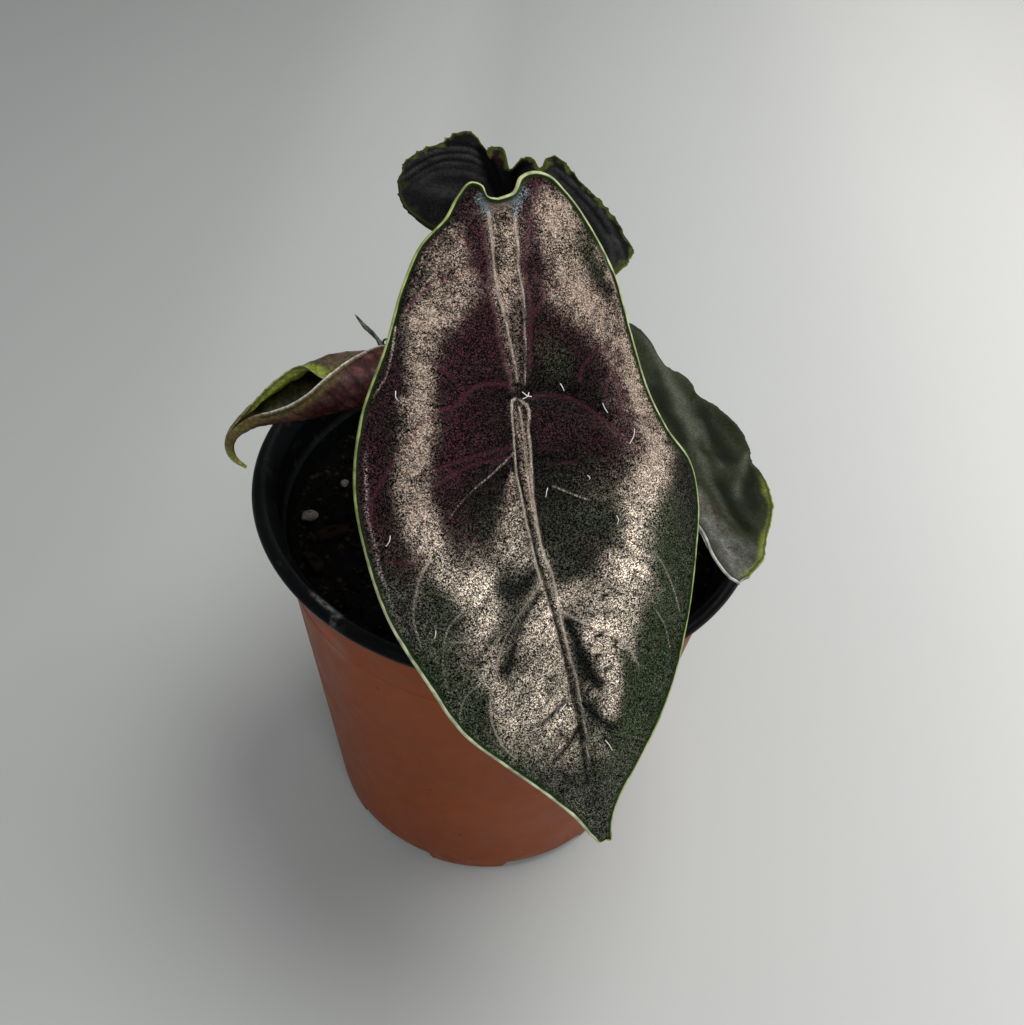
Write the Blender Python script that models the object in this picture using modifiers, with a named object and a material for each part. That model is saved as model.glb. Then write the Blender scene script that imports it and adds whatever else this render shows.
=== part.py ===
"""A young alocasia azlanii growing in a round two-tone nursery pot.

Constants and functions work in millimetres, and the meshes are in metres.
The origin is the middle of the pot's underside, +Z is up, and the front leaf hangs towards -Y.
A blade has its own coordinates: a to its right, b from the petiole towards the tip, and a
height above its middle sheet.
"""
import math

import bmesh
import bpy
import numpy as np

MM = 0.001
GAP = 0.3            # clearance between pieces that touch
SEED = 11

# Pot
POT_HEIGHT = 112.0
RIM_RADIUS = 60.0
RIM_INNER_RADIUS = 56.3
RIM_DEPTH = 3.2
COLLAR_RADIUS = 55.6
COLLAR_DEPTH = 12.0
WALL_TOP_RADIUS = 54.2
BASE_RADIUS = 43.0
WALL = 1.3
FLOOR = 1.6
BASE_ROUNDING = 1.2
DRAIN_COUNT = 6
DRAIN_ANGLE = 34.0       # width of each drain notch round the base
DRAIN_HEIGHT = 4.0
DRAIN_REACH = 3.6        # how far a notch cuts in from the wall's outside
FOOT_BEARING = -92.0     # the direction of one solid stretch between two notches
POT_STEPS = 54

# Soil
SOIL_HEIGHT = 95.0
SOIL_RELIEF = 1.4
SOIL_GRID = 20
SOIL_FOOT_INSET = 1.6    # the plug stays this clear of the wall at the floor, behind the notches

# Crown, where the leaf stalks spring from the soil
CROWN_PLACE = (0.0, 1.0)
CROWN_RADIUS = 8.9
CROWN_TAPER = 0.72
CROWN_TOP = 99.0
CROWN_ROOT = 84.0
CROWN_SIDES = 20
SHEATH_LENGTH = 17.0
SHEATH_RADIUS = 3.5

# Leaf stalks
STALK_BASE_RADIUS = 2.7
STALK_TIP_RADIUS = 1.8
STALK_RINGS = 13
STALK_APPROACH = 9.0     # last straight stretch, square to the blade
YOUNG_APPROACH = 3.5     # the same where the stalk runs on into the rolled blade
STALK_CLEARANCE = 0.45   # between the stalk's end and the blade over it
CAP_STRETCH = 0.5

BLADE_THICKNESS = 0.8
RIB_WIDTH = 2.6


def unit(vector):
    vector = np.asarray(vector, float)
    return vector / np.linalg.norm(vector)


def smooth_through(points, count):
    """Curve through the points, each span a cubic between tangents, cut at equal lengths."""
    points = np.array(points, float)
    spans = np.linalg.norm(np.diff(points, axis=0), axis=1)
    knots = np.concatenate([[0.0], np.cumsum(spans)])
    tangents = np.gradient(points, knots, axis=0)
    fine = np.linspace(0.0, knots[-1], 40 * len(points))
    span = np.clip(np.searchsorted(knots, fine, side="right") - 1, 0, len(spans) - 1)
    width = spans[span][:, None]
    t = (fine[:, None] - knots[span][:, None]) / width
    curve = ((2 * t**3 - 3 * t**2 + 1) * points[span] + (t**3 - 2 * t**2 + t) * width * tangents[span]
             + (3 * t**2 - 2 * t**3) * points[span + 1] + (t**3 - t**2) * width * tangents[span + 1])
    return resample(curve, count)


def lengths_along(curve):
    return np.concatenate([[0.0], np.cumsum(np.linalg.norm(np.diff(curve, axis=0), axis=1))])


def points_at(curve, stations):
    """Points of a fine curve at the given lengths along it."""
    length = lengths_along(curve)
    return np.stack([np.interp(stations, length, curve[:, k]) for k in range(curve.shape[1])], axis=1)


def resample(curve, count):
    return points_at(curve, np.linspace(0.0, lengths_along(curve)[-1], count))


def stretch_of(curve, count, start, end):
    """Part of a curve, with a short straight stretch at each end so its caps lie square."""
    inner = np.linspace(start + CAP_STRETCH, end - CAP_STRETCH, count - 2)
    return points_at(curve, np.concatenate([[start], inner, [end]]))


def make_material(name, colour, roughness, metallic=0.0):
    material = bpy.data.materials.new(name)
    material.use_nodes = True
    shader = material.node_tree.nodes["Principled BSDF"]
    shader.inputs["Base Color"].default_value = (*colour, 1.0)
    shader.inputs["Roughness"].default_value = roughness
    shader.inputs["Metallic"].default_value = metallic
    return material


def add_object(name, data, material, collection):
    piece = bpy.data.objects.new(name, data)
    piece.data.materials.append(material)
    collection.objects.link(piece)
    return piece


def mesh_from(bm, name):
    mesh = bpy.data.meshes.new(name)
    bm.to_mesh(mesh)
    bm.free()
    return mesh


def shade(piece, angle=40.0):
    piece.data.shade_smooth()
    piece.data.set_sharp_from_angle(angle=math.radians(angle))


def boolean(piece, other, operation):
    modifier = piece.modifiers.new(operation.title(), "BOOLEAN")
    modifier.operation = operation
    modifier.solver = "EXACT"
    modifier.object = other


def add_cutter(name, mesh, cutters):
    """A hidden helper solid, which a Boolean reads."""
    cutter = bpy.data.objects.new(name, mesh)
    cutters.objects.link(cutter)
    cutter.hide_render = True
    cutter.display_type = "WIRE"
    return cutter


def tube(name, path, radii, material, collection):
    """Round stalk along a path, with a radius at each of its points and filled ends."""
    curve = bpy.data.curves.new(name, "CURVE")
    curve.dimensions = "3D"
    curve.bevel_depth = MM
    curve.bevel_resolution = 2
    curve.use_fill_caps = True
    spline = curve.splines.new("POLY")
    spline.points.add(len(path) - 1)
    for point, place, radius in zip(spline.points, path, radii):
        point.co = (*(np.asarray(place) * MM), 1.0)
        point.radius = radius
    return add_object(name, curve, material, collection)


def welded_copy(piece, name, collection):
    """Mesh copy of a tube with its end caps joined on; the tube itself is removed."""
    graph = bpy.context.evaluated_depsgraph_get()
    mesh = bpy.data.meshes.new_from_object(piece.evaluated_get(graph))
    bm = bmesh.new()
    bm.from_mesh(mesh)
    bmesh.ops.remove_doubles(bm, verts=bm.verts, dist=1e-6)
    bm.to_mesh(mesh)
    bm.free()
    copy = bpy.data.objects.new(name, mesh)
    copy.matrix_world = piece.matrix_world
    collection.objects.link(copy)
    bpy.data.objects.remove(piece)
    return copy


# Pot: one turned wall with a rolled rim, a collar and six drain notches round its base

def wall_radius(height):
    """Outer radius of the straight wall between the base and the collar."""
    return BASE_RADIUS + (WALL_TOP_RADIUS - BASE_RADIUS) * height / (POT_HEIGHT - COLLAR_DEPTH)


def pot_profile():
    """Half section from the middle of the floor's underside out, up, over the rim and back in."""
    top, collar = POT_HEIGHT, POT_HEIGHT - COLLAR_DEPTH
    roll = RIM_DEPTH / 2
    outside = [(0.0, 0.0), (BASE_RADIUS - BASE_ROUNDING, 0.0), (BASE_RADIUS - 0.3, 0.35),
               (BASE_RADIUS, BASE_ROUNDING), (wall_radius(DRAIN_HEIGHT), DRAIN_HEIGHT),
               (wall_radius(collar) - 0.1, collar - 1.0), (COLLAR_RADIUS - 0.2, collar),
               (COLLAR_RADIUS, top - RIM_DEPTH)]
    rim = [(RIM_RADIUS - 0.8, top - RIM_DEPTH), (RIM_RADIUS, top - roll), (RIM_RADIUS - 0.7, top - 0.4),
           (RIM_RADIUS - 2.0, top), (RIM_INNER_RADIUS + 0.7, top - 0.3), (RIM_INNER_RADIUS, top - 1.2)]
    inside = [(COLLAR_RADIUS - WALL, top - RIM_DEPTH - 1.0), (COLLAR_RADIUS - WALL - 0.2, collar + 0.4),
              (wall_radius(collar) - WALL, collar - 0.8), (BASE_RADIUS - WALL + 0.1, FLOOR + 1.0),
              (BASE_RADIUS - WALL - 0.9, FLOOR), (0.0, FLOOR)]
    return outside + rim + inside


def drain_cutter(index, cutters):
    """Block that cuts one notch through the corner between wall and floor."""
    bearing = math.radians(FOOT_BEARING + (index + 0.5) * 360.0 / DRAIN_COUNT)
    width = 2 * BASE_RADIUS * math.sin(math.radians(DRAIN_ANGLE / 2))
    bm = bmesh.new()
    bmesh.ops.create_cube(bm, size=1.0)
    for vert in bm.verts:
        taper = 0.88 if vert.co.z > 0 else 1.0
        vert.co.x *= 3 * DRAIN_REACH * MM
        vert.co.y *= width * taper * MM
        vert.co.z *= 2 * DRAIN_HEIGHT * MM
    cutter = add_cutter(f"drain_cutter_{index + 1}", mesh_from(bm, "drain_cutter"), cutters)
    reach = BASE_RADIUS - DRAIN_REACH + 1.5 * DRAIN_REACH
    cutter.location = (reach * MM * math.cos(bearing), reach * MM * math.sin(bearing), 0.0)
    cutter.rotation_euler = (0.0, 0.0, bearing)
    return cutter


def make_pot(parts, cutters):
    bm = bmesh.new()
    verts = [bm.verts.new((radius * MM, 0.0, height * MM)) for radius, height in reversed(pot_profile())]
    for start, end in zip(verts, verts[1:]):
        bm.edges.new((start, end))
    material = make_material("terracotta_plastic", (0.42, 0.13, 0.06), 0.5)
    pot = add_object("pot", mesh_from(bm, "pot"), material, parts)
    screw = pot.modifiers.new("Turn", "SCREW")
    screw.steps = screw.render_steps = POT_STEPS
    screw.use_merge_vertices = True
    screw.merge_threshold = 1e-5
    for index in range(DRAIN_COUNT):
        boolean(pot, drain_cutter(index, cutters), "DIFFERENCE")
    return pot


# Soil: a plug that fills the pot, uneven on top, with a plain hole for the crown

def soil_height(x, y):
    """Top of the soil: long low waves that fade out at the wall and at the crown."""
    waves = (np.sin(0.17 * x + 0.6) * np.cos(0.15 * y - 0.4) + 0.5 * np.sin(0.36 * x - 0.27 * y)
             + 0.3 * np.cos(0.5 * y + 0.31 * x + 1.0))
    radius = np.hypot(x, y)
    fade = np.clip((radius - 8.0) / 8.0, 0.0, 1.0) * np.clip((52.0 - radius) / 8.0, 0.25, 1.0)
    return SOIL_HEIGHT + SOIL_RELIEF * waves * fade - 1.2 * (radius / 52.0)**4


def square_to_disc(u, v):
    """Distance from the middle, and the turn from +v (0) to -v (1), of a square's points."""
    rho = np.maximum(np.abs(u), np.abs(v))
    safe = np.where(rho == 0, 1.0, rho)
    across = np.where(v > 0, np.abs(u) / safe, 4 - np.abs(u) / safe)
    turn = np.where(np.abs(v) >= np.abs(u), across, 2 - v / safe) / 4
    return rho, turn


def square_grid(divisions):
    """Square of side 2 in triangles, each cell split outwards, and its points' u and v."""
    bm = bmesh.new()
    bmesh.ops.create_grid(bm, x_segments=divisions, y_segments=divisions, size=1.0)
    for cell in list(bm.faces):
        middle = cell.calc_center_median()
        lean = 1.0 if middle.x * middle.y > 0 else -1.0
        corners = sorted(cell.verts, key=lambda vert: vert.co.x + lean * vert.co.y)
        bmesh.utils.face_split(cell, corners[0], corners[-1])
    bm.verts.ensure_lookup_table()
    u, v = np.array([(vert.co.x, vert.co.y) for vert in bm.verts]).T
    return bm, u, v


def move_verts(bm, places):
    for vert, place in zip(bm.verts, places):
        vert.co = place * MM


def make_soil(parts, cutters):
    bm, u, v = square_grid(SOIL_GRID)
    rho, turn = square_to_disc(u, v)
    angle = np.pi * turn * np.where(u < 0, -1, 1)
    top_radius = wall_radius(SOIL_HEIGHT) - WALL - GAP
    x, y = top_radius * rho * np.sin(angle), top_radius * rho * np.cos(angle)
    move_verts(bm, np.stack([x, y, soil_height(x, y)], axis=1))
    # The wall is a straight cone, so the plug's side is one ring of faces down to the floor
    raised = bmesh.ops.extrude_face_region(bm, geom=bm.faces)
    low = FLOOR + GAP
    low_radius = wall_radius(low) - WALL - SOIL_FOOT_INSET
    for vert in (g for g in raised["geom"] if isinstance(g, bmesh.types.BMVert)):
        vert.co.x *= low_radius / top_radius
        vert.co.y *= low_radius / top_radius
        vert.co.z = low * MM
    bmesh.ops.recalc_face_normals(bm, faces=bm.faces)
    material = make_material("potting_mix", (0.012, 0.010, 0.008), 0.95)
    soil = add_object("soil", mesh_from(bm, "soil"), material, parts)
    hole = bmesh.new()
    radius, depth = CROWN_RADIUS + GAP, 2 * (SOIL_HEIGHT - CROWN_ROOT + GAP)
    bmesh.ops.create_cone(hole, cap_ends=True, segments=CROWN_SIDES, radius1=radius * MM,
                          radius2=radius * MM, depth=depth * MM)
    cutter = add_cutter("crown_hole", mesh_from(hole, "crown_hole"), cutters)
    cutter.location = (CROWN_PLACE[0] * MM, CROWN_PLACE[1] * MM, SOIL_HEIGHT * MM)
    boolean(soil, cutter, "DIFFERENCE")
    return soil


# Loose bits lying on the soil: name, x, y, length, width, height, turn

PERLITE = [("perlite_1", -47.6, -3.2, 4.6, 3.0, 2.2, 20.0),
           ("perlite_2", -41.0, 8.0, 2.6, 2.0, 1.6, 70.0),
           ("perlite_3", 26.0, 36.0, 3.6, 2.8, 2.2, 110.0)]
BARK = [("bark_1", -41.0, -9.0, 9.0, 4.0, 2.2, 30.0),
        ("bark_2", -43.5, -19.0, 7.0, 3.4, 2.0, -50.0),
        ("bark_3", 34.0, 26.0, 8.0, 4.4, 2.4, 15.0),
        ("bark_4", -14.0, 40.0, 9.0, 3.8, 2.2, -20.0)]


def make_bit(name, x, y, length, width, height, turn, lump, material, parts, rng):
    """Rounded crumb, lowered until its underside lies a gap above the soil."""
    bm = bmesh.new()
    bmesh.ops.create_icosphere(bm, subdivisions=1, radius=1.0)
    shape = np.array([vert.co for vert in bm.verts]) * (length / 2, width / 2, height / 2)
    shape *= 1.0 + lump * rng.uniform(-1.0, 1.0, (len(shape), 1))
    cos, sin = math.cos(math.radians(turn)), math.sin(math.radians(turn))
    place = np.stack([x + cos * shape[:, 0] - sin * shape[:, 1], y + sin * shape[:, 0] + cos * shape[:, 1],
                      shape[:, 2]], axis=1)
    place[:, 2] += np.max(soil_height(place[:, 0], place[:, 1]) - place[:, 2]) + GAP
    move_verts(bm, place)
    return add_object(name, mesh_from(bm, name), material, parts)


def make_bits(parts):
    rng = np.random.default_rng(SEED)
    perlite = make_material("perlite", (0.62, 0.58, 0.52), 0.9)
    bark = make_material("bark", (0.05, 0.028, 0.014), 0.9)
    for bit in PERLITE:
        make_bit(*bit, 0.08, perlite, parts, rng)
    for bit in BARK:
        make_bit(*bit, 0.06, bark, parts, rng)


# Blades: a bent sheet cut to an outline, then thickened

class Blade:
    """Sheet at origin that points heading degrees from -Y towards +X and dip degrees down.

    The sheet droops along b and arches along a. The outline runs down each side from the tip
    to the notch between the two lobes, and centre is the point the mesh spreads from.
    """

    def __init__(self, name, origin, heading, dip, roll, droop, arch, centre, right, left, relief,
                 divisions):
        self.name, self.divisions, self.relief = name, divisions, relief
        self.origin = np.array(origin, float)
        heading, dip, roll = np.radians([heading, dip, roll])
        self.along = np.array([math.sin(heading) * math.cos(dip), -math.cos(heading) * math.cos(dip),
                               -math.sin(dip)])
        level = np.array([math.cos(heading), math.sin(heading), 0.0])
        face = np.cross(self.along, level)
        self.normal = face * math.cos(roll) + level * math.sin(roll)
        self.across = np.cross(self.normal, self.along)
        self.droop, self.arch = droop, arch
        self.centre = np.array(centre, float)
        self.right = smooth_through(right, 400)
        self.left = smooth_through(left, 400)

    def flat(self, u, v):
        """a and b of a square's points: rings of the outline, shrunk towards the centre."""
        rho, turn = square_to_disc(u, v)
        station = turn * (len(self.right) - 1)
        index = np.arange(len(self.right))
        side = np.where(u[:, None] >= 0,
                        np.stack([np.interp(station, index, self.right[:, k]) for k in (0, 1)], axis=1),
                        np.stack([np.interp(station, index, self.left[:, k]) for k in (0, 1)], axis=1))
        a, b = (self.centre + rho[:, None] * (side - self.centre)).T
        return a, b, rho, turn

    def place(self, a, b, height):
        a, b, height = np.atleast_1d(a), np.atleast_1d(b), np.atleast_1d(height)
        lift = height - self.droop * b**2 - self.arch * a**2
        return (self.origin + a[:, None] * self.across + b[:, None] * self.along
                + lift[:, None] * self.normal)

    def stalk_end(self):
        """Where the stalk stops, just under the blade at a = b = 0."""
        towards_notch = self.centre[1] > 0
        edge = self.right[-1 if towards_notch else 0]
        rho = self.centre[1] / (self.centre[1] - edge[1])
        middle = self.relief(np.zeros(1), np.zeros(1), np.array([rho]), np.array([float(towards_notch)]))
        return self.place(0.0, 0.0, middle - BLADE_THICKNESS / 2 - STALK_CLEARANCE)[0]

    def make(self, material, parts):
        bm, u, v = square_grid(self.divisions)
        a, b, rho, turn = self.flat(u, v)
        move_verts(bm, self.place(a, b, self.relief(a, b, rho, turn)))
        blade = add_object(self.name, mesh_from(bm, self.name), material, parts)
        solidify = blade.modifiers.new("Thickness", "SOLIDIFY")
        solidify.thickness = BLADE_THICKNESS * MM
        solidify.offset = 0.0
        shade(blade, 60.0)
        return blade


def groove(distance, width):
    """One at a vein's middle, falling smoothly to nothing about a width away."""
    return np.exp(-(distance / width)**2)


def side_veins(a, b, stations, sweep, bend):
    """Nearness to the veins that leave the midrib at the stations and curve towards the tip."""
    along = b - sweep * np.abs(a) - bend * a**2
    return sum(groove(along - station, RIB_WIDTH) for station in stations)


def front_relief(a, b, rho, turn):
    """A raised ring between midrib and margin, a sunk midrib and sunk side veins."""
    ring = 2.4 * np.sin(np.pi * rho**1.45)**2 * (1.0 - 0.55 * groove(a, 5.0))
    veins = side_veins(a, b, (-24.0, -2.0, 12.0, 36.0, 57.0), 0.35, 0.018)
    return ring - 0.7 * veins * np.sin(np.pi * rho) - 0.8 * groove(a, 2.2) * (1.0 - rho**4)


def back_relief(a, b, rho, turn):
    """A deep fold up the middle of the lobes, arched ribs and a ruffled edge."""
    fold = 6.0 * groove(a - 0.5, 4.5) * np.clip((-b - 4.0) / 10.0, 0.0, 1.0)
    ribs = side_veins(a, b, (-34.0, -22.0, -10.0, 3.0, 16.0, 30.0), 0.25, 0.012)
    ruffle = 0.8 * np.sin(turn * 46.0 + np.sign(a)) * rho**8
    return 2.0 * np.sin(np.pi * rho)**2 - fold - 0.7 * ribs * np.sin(np.pi * rho) + ruffle


def right_relief(a, b, rho, turn):
    """Halves raised from a sunk midrib, and waves that grow towards the edge."""
    fold = np.where(a > 0, 0.10 * a, -0.04 * a)
    waves = np.where(a > 0, 1.6 * np.sin(turn * 25.0 + 0.6), 0.8 * np.sin(turn * 20.0)) * rho**2.5
    ribs = side_veins(a, b, (-16.0, -6.0, 4.0, 14.0, 24.0), 0.4, 0.015)
    return fold + waves - 0.5 * ribs * np.sin(np.pi * rho)


FRONT = Blade(
    "front_blade", origin=(1.1, -37.2, 165.1), heading=26.0, dip=52.0, roll=0.0, droop=0.0004, arch=0.004,
    centre=(-0.6, 22.0), relief=front_relief, divisions=28,
    right=[(1.2, 89.0), (3.0, 86.5), (5.5, 81.5), (9.8, 76.5), (16.4, 69.4), (22.5, 60.8), (28.0, 49.8),
           (32.6, 37.0), (35.0, 27.5), (34.4, 19.2), (30.0, 11.8), (27.3, 5.0), (25.1, -7.5), (23.7, -18.5),
           (20.9, -26.3), (16.1, -35.0), (13.6, -37.9), (10.4, -39.0), (7.4, -38.2), (5.8, -36.0),
           (2.6, -35.2)],
    left=[(1.2, 89.0), (-0.6, 87.3), (-3.4, 82.2), (-8.6, 75.2), (-15.6, 67.0), (-22.0, 59.0),
          (-26.8, 47.6), (-31.4, 33.9), (-32.8, 22.0), (-32.4, 9.5), (-28.8, -2.2), (-22.0, -14.0),
          (-17.4, -23.0), (-12.6, -29.6), (-7.6, -33.2), (-4.8, -36.4), (-1.6, -38.6), (0.4, -37.6),
          (0.8, -35.8), (2.6, -35.2)])

BACK = Blade(
    "back_blade", origin=(2.6, 39.0, 136.0), heading=18.0, dip=30.0, roll=0.0, droop=0.0012, arch=0.009,
    centre=(0.0, -6.0), relief=back_relief, divisions=22,
    right=[(0.0, 46.0), (5.0, 38.0), (10.5, 30.0), (16.0, 21.0), (20.5, 12.0), (22.0, 4.0), (22.8, -3.0),
           (25.4, -6.9), (29.3, -10.3), (33.6, -16.2), (30.6, -22.5), (27.2, -26.7), (24.6, -31.8),
           (20.6, -35.4), (18.0, -38.5), (14.4, -42.4), (12.2, -41.4), (9.7, -38.2), (8.2, -41.0),
           (4.6, -41.6), (2.6, -40.6)],
    left=[(0.0, 46.0), (-5.0, 38.0), (-10.5, 30.0), (-15.5, 21.0), (-18.6, 12.0), (-19.6, 3.0),
          (-19.2, -6.0), (-18.6, -14.0), (-19.4, -20.6), (-24.0, -26.0), (-26.6, -29.7),
          (-28.0, -34.0), (-27.9, -38.4), (-26.6, -42.4), (-24.2, -45.8), (-20.2, -47.2), (-15.6, -48.7), (-11.0, -50.8), (-8.0, -51.2),
          (-5.5, -48.8), (-3.6, -45.6), (-1.2, -48.8), (0.8, -49.2), (2.6, -40.6)])

RIGHT = Blade(
    "right_blade", origin=(30.0, -6.2, 136.2), heading=32.0, dip=14.0, roll=12.0, droop=0.0, arch=0.0,
    centre=(1.0, 6.0), relief=right_relief, divisions=20,
    right=[(-4.0, 42.0), (-1.6, 41.4), (4.9, 38.9), (10.5, 34.4), (15.2, 29.3), (18.0, 21.2), (19.4, 16.2),
           (21.6, 11.1), (21.6, 6.3), (18.8, 1.0), (17.2, -4.1), (18.4, -8.0), (17.6, -10.6), (13.9, -14.9),
           (12.8, -21.5), (11.6, -28.1), (8.6, -31.6), (5.6, -31.8), (3.0, -29.0), (1.0, -24.0)],
    left=[(-4.0, 42.0), (-5.6, 40.6), (-6.9, 37.4), (-6.9, 34.3), (-5.8, 31.0), (-5.2, 27.0), (-7.4, 22.0),
          (-11.6, 14.0), (-13.6, 4.0), (-13.8, -7.0), (-12.6, -18.0), (-9.8, -25.4), (-6.0, -28.6),
          (-2.2, -27.6), (1.0, -24.0)])


# Young leaf: a rolled blade, open on top, that narrows to a hooked tip

YOUNG_SPINE = [(-14.0, 4.0, 139.0), (-21.0, 2.2, 139.4), (-29.5, -0.2, 138.4), (-38.7, -2.2, 136.9),
               (-47.1, -5.1, 134.4), (-53.4, -7.7, 132.0), (-58.0, -9.8, 129.8), (-61.4, -10.9, 126.4),
               (-62.6, -11.0, 122.4), (-61.8, -10.8, 118.8), (-59.6, -10.5, 116.4)]
YOUNG_RADIUS = [(0.0, 2.6), (0.10, 5.0), (0.25, 6.2), (0.42, 6.6), (0.55, 5.6), (0.66, 3.6), (0.74, 2.1),
                (0.82, 1.4), (0.92, 1.1), (1.0, 0.8)]
YOUNG_OPENING = [(0.0, 24.0), (0.2, 24.0), (0.32, 58.0), (0.48, 96.0), (0.60, 84.0), (0.70, 40.0),
                 (0.78, 20.0), (1.0, 20.0)]     # degrees of the roll left open
YOUNG_WALL = [(0.0, 0.9), (0.6, 0.8), (0.74, 0.75), (0.82, 0.7), (1.0, 0.5)]
YOUNG_OPEN_TURN = 25.0            # how far the opening leans from straight up towards -Y
YOUNG_SECTIONS = 30
YOUNG_SIDES = 14


def frames_along(path, up=(0.0, 0.0, 1.0)):
    """Tangent, sideways and upward directions at each point of a path, carried along it."""
    tangents = np.gradient(path, axis=0)
    tangents /= np.linalg.norm(tangents, axis=1)[:, None]
    side = unit(np.cross(tangents[0], up))
    sides = []
    for tangent in tangents:
        side = unit(side - tangent * np.dot(side, tangent))
        sides.append(side)
    sides = np.array(sides)
    return tangents, sides, np.cross(sides, tangents)


def young_section(fraction):
    """One C-shaped section: the outer arc from edge to edge, then the inner arc back."""
    radius = np.interp(fraction, *zip(*YOUNG_RADIUS))
    opening = math.radians(np.interp(fraction, *zip(*YOUNG_OPENING)))
    wall = min(np.interp(fraction, *zip(*YOUNG_WALL)), 0.62 * radius)
    start = math.radians(90.0 + YOUNG_OPEN_TURN) + opening / 2
    angles = start + np.linspace(0.0, 2 * math.pi - opening, YOUNG_SIDES)
    outer = radius * np.stack([np.cos(angles), np.sin(angles)], axis=1)
    inner = (radius - wall) * np.stack([np.cos(angles[::-1]), np.sin(angles[::-1])], axis=1)
    return np.concatenate([outer, inner])


def make_young_blade(material, parts):
    path = smooth_through(YOUNG_SPINE, YOUNG_SECTIONS)
    _, sides, ups = frames_along(path)
    bm = bmesh.new()
    rings = []
    for index, centre in enumerate(path):
        section = young_section(index / (YOUNG_SECTIONS - 1))
        places = centre + section[:, :1] * sides[index] + section[:, 1:] * ups[index]
        rings.append([bm.verts.new(place * MM) for place in places])
    count = len(rings[0])
    for near, far in zip(rings, rings[1:]):
        for k in range(count):
            m = (k + 1) % count
            bm.faces.new((near[k], far[k], near[m]))
            bm.faces.new((near[m], far[k], far[m]))
    for ring in (rings[0], rings[-1]):
        for k in range(YOUNG_SIDES - 1):
            bm.faces.new((ring[k], ring[k + 1], ring[count - 2 - k], ring[count - 1 - k]))
    bmesh.ops.recalc_face_normals(bm, faces=bm.faces)
    blade = add_object("young_blade", mesh_from(bm, "young_blade"), material, parts)
    shade(blade, 50.0)
    return blade


# Stalks: each stands on its sheath, part of the crown, and ends just under its blade

def stalk_path(start, middle, end, direction, straight=STALK_APPROACH):
    """Fine smooth path from the crown to a blade, which it meets in the given direction."""
    return smooth_through([start, *middle, end - straight * unit(direction), end], 240)


def stalk_paths():
    young = smooth_through(YOUNG_SPINE, YOUNG_SECTIONS)
    young_direction = unit(young[1] - young[0])
    return {
        "front_petiole": stalk_path(
            (0.4, -1.8, 90.0), [(0.2, -4.0, 104.0), (-1.2, -12.0, 124.0), (-2.4, -22.0, 144.0)],
            FRONT.stalk_end(), FRONT.normal),
        "back_petiole": stalk_path(
            (-0.4, 4.0, 90.0), [(-0.8, 8.0, 104.0), (-0.2, 19.0, 111.5), (1.6, 35.0, 119.5)],
            BACK.stalk_end(), BACK.normal),
        "right_petiole": stalk_path(
            (3.6, 0.6, 90.0), [(6.8, -0.4, 103.0), (17.0, -5.0, 117.0)],
            RIGHT.stalk_end(), RIGHT.normal),
        "young_petiole": stalk_path(
            (-3.4, 1.8, 90.0), [(-5.8, 3.4, 104.0), (-5.2, 4.4, 120.0), (-6.0, 5.0, 131.0)],
            young[0] - (GAP + 0.1) * young_direction, young_direction, YOUNG_APPROACH),
    }


def make_stalks(paths, materials, parts):
    for name, path in paths.items():
        rest = stretch_of(path, STALK_RINGS, SHEATH_LENGTH + GAP, lengths_along(path)[-1])
        radii = np.linspace(STALK_BASE_RADIUS, STALK_TIP_RADIUS, STALK_RINGS)
        tube(name, rest, radii, materials[name], parts)


def make_crown(paths, material, parts, cutters):
    """Short stem with a sheath round the foot of each stalk, all one body."""
    bm = bmesh.new()
    bmesh.ops.create_cone(bm, cap_ends=True, segments=CROWN_SIDES, radius1=CROWN_RADIUS * MM,
                          radius2=CROWN_TAPER * CROWN_RADIUS * MM, depth=(CROWN_TOP - CROWN_ROOT) * MM)
    crown = add_object("crown", mesh_from(bm, "crown"), material, parts)
    crown.location = (CROWN_PLACE[0] * MM, CROWN_PLACE[1] * MM, (CROWN_TOP + CROWN_ROOT) / 2 * MM)
    for name, path in paths.items():
        foot = stretch_of(path, 7, 0.0, SHEATH_LENGTH)
        radii = np.linspace(SHEATH_RADIUS, SHEATH_RADIUS - 0.5, len(foot))
        sheath = tube(f"{name}_sheath", foot, radii, material, cutters)
        sheath = welded_copy(sheath, f"{name}_sheath", cutters)
        sheath.hide_render = True
        sheath.display_type = "WIRE"
        boolean(crown, sheath, "UNION")
    return crown


# Dried tip: a withered thread that lies on the back of the young leaf

DRIED_PATH = [(-30.0, 5.6, 141.3), (-32.3, 7.9, 142.6), (-35.2, 10.6, 143.4), (-37.6, 12.8, 144.6)]
DRIED_RADII = [(0.0, 0.8), (0.3, 0.6), (1.0, 0.35)]


def make_dried_tip(material, parts):
    path = smooth_through(DRIED_PATH, 9)
    radii = np.interp(np.linspace(0.0, 1.0, 9), *zip(*DRIED_RADII))
    return tube("dried_tip", path, radii, material, parts)


def clear_scene():
    for piece in list(bpy.data.objects):
        bpy.data.objects.remove(piece)


def new_collection(name):
    collection = bpy.data.collections.new(name)
    bpy.context.scene.collection.children.link(collection)
    return collection


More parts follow.
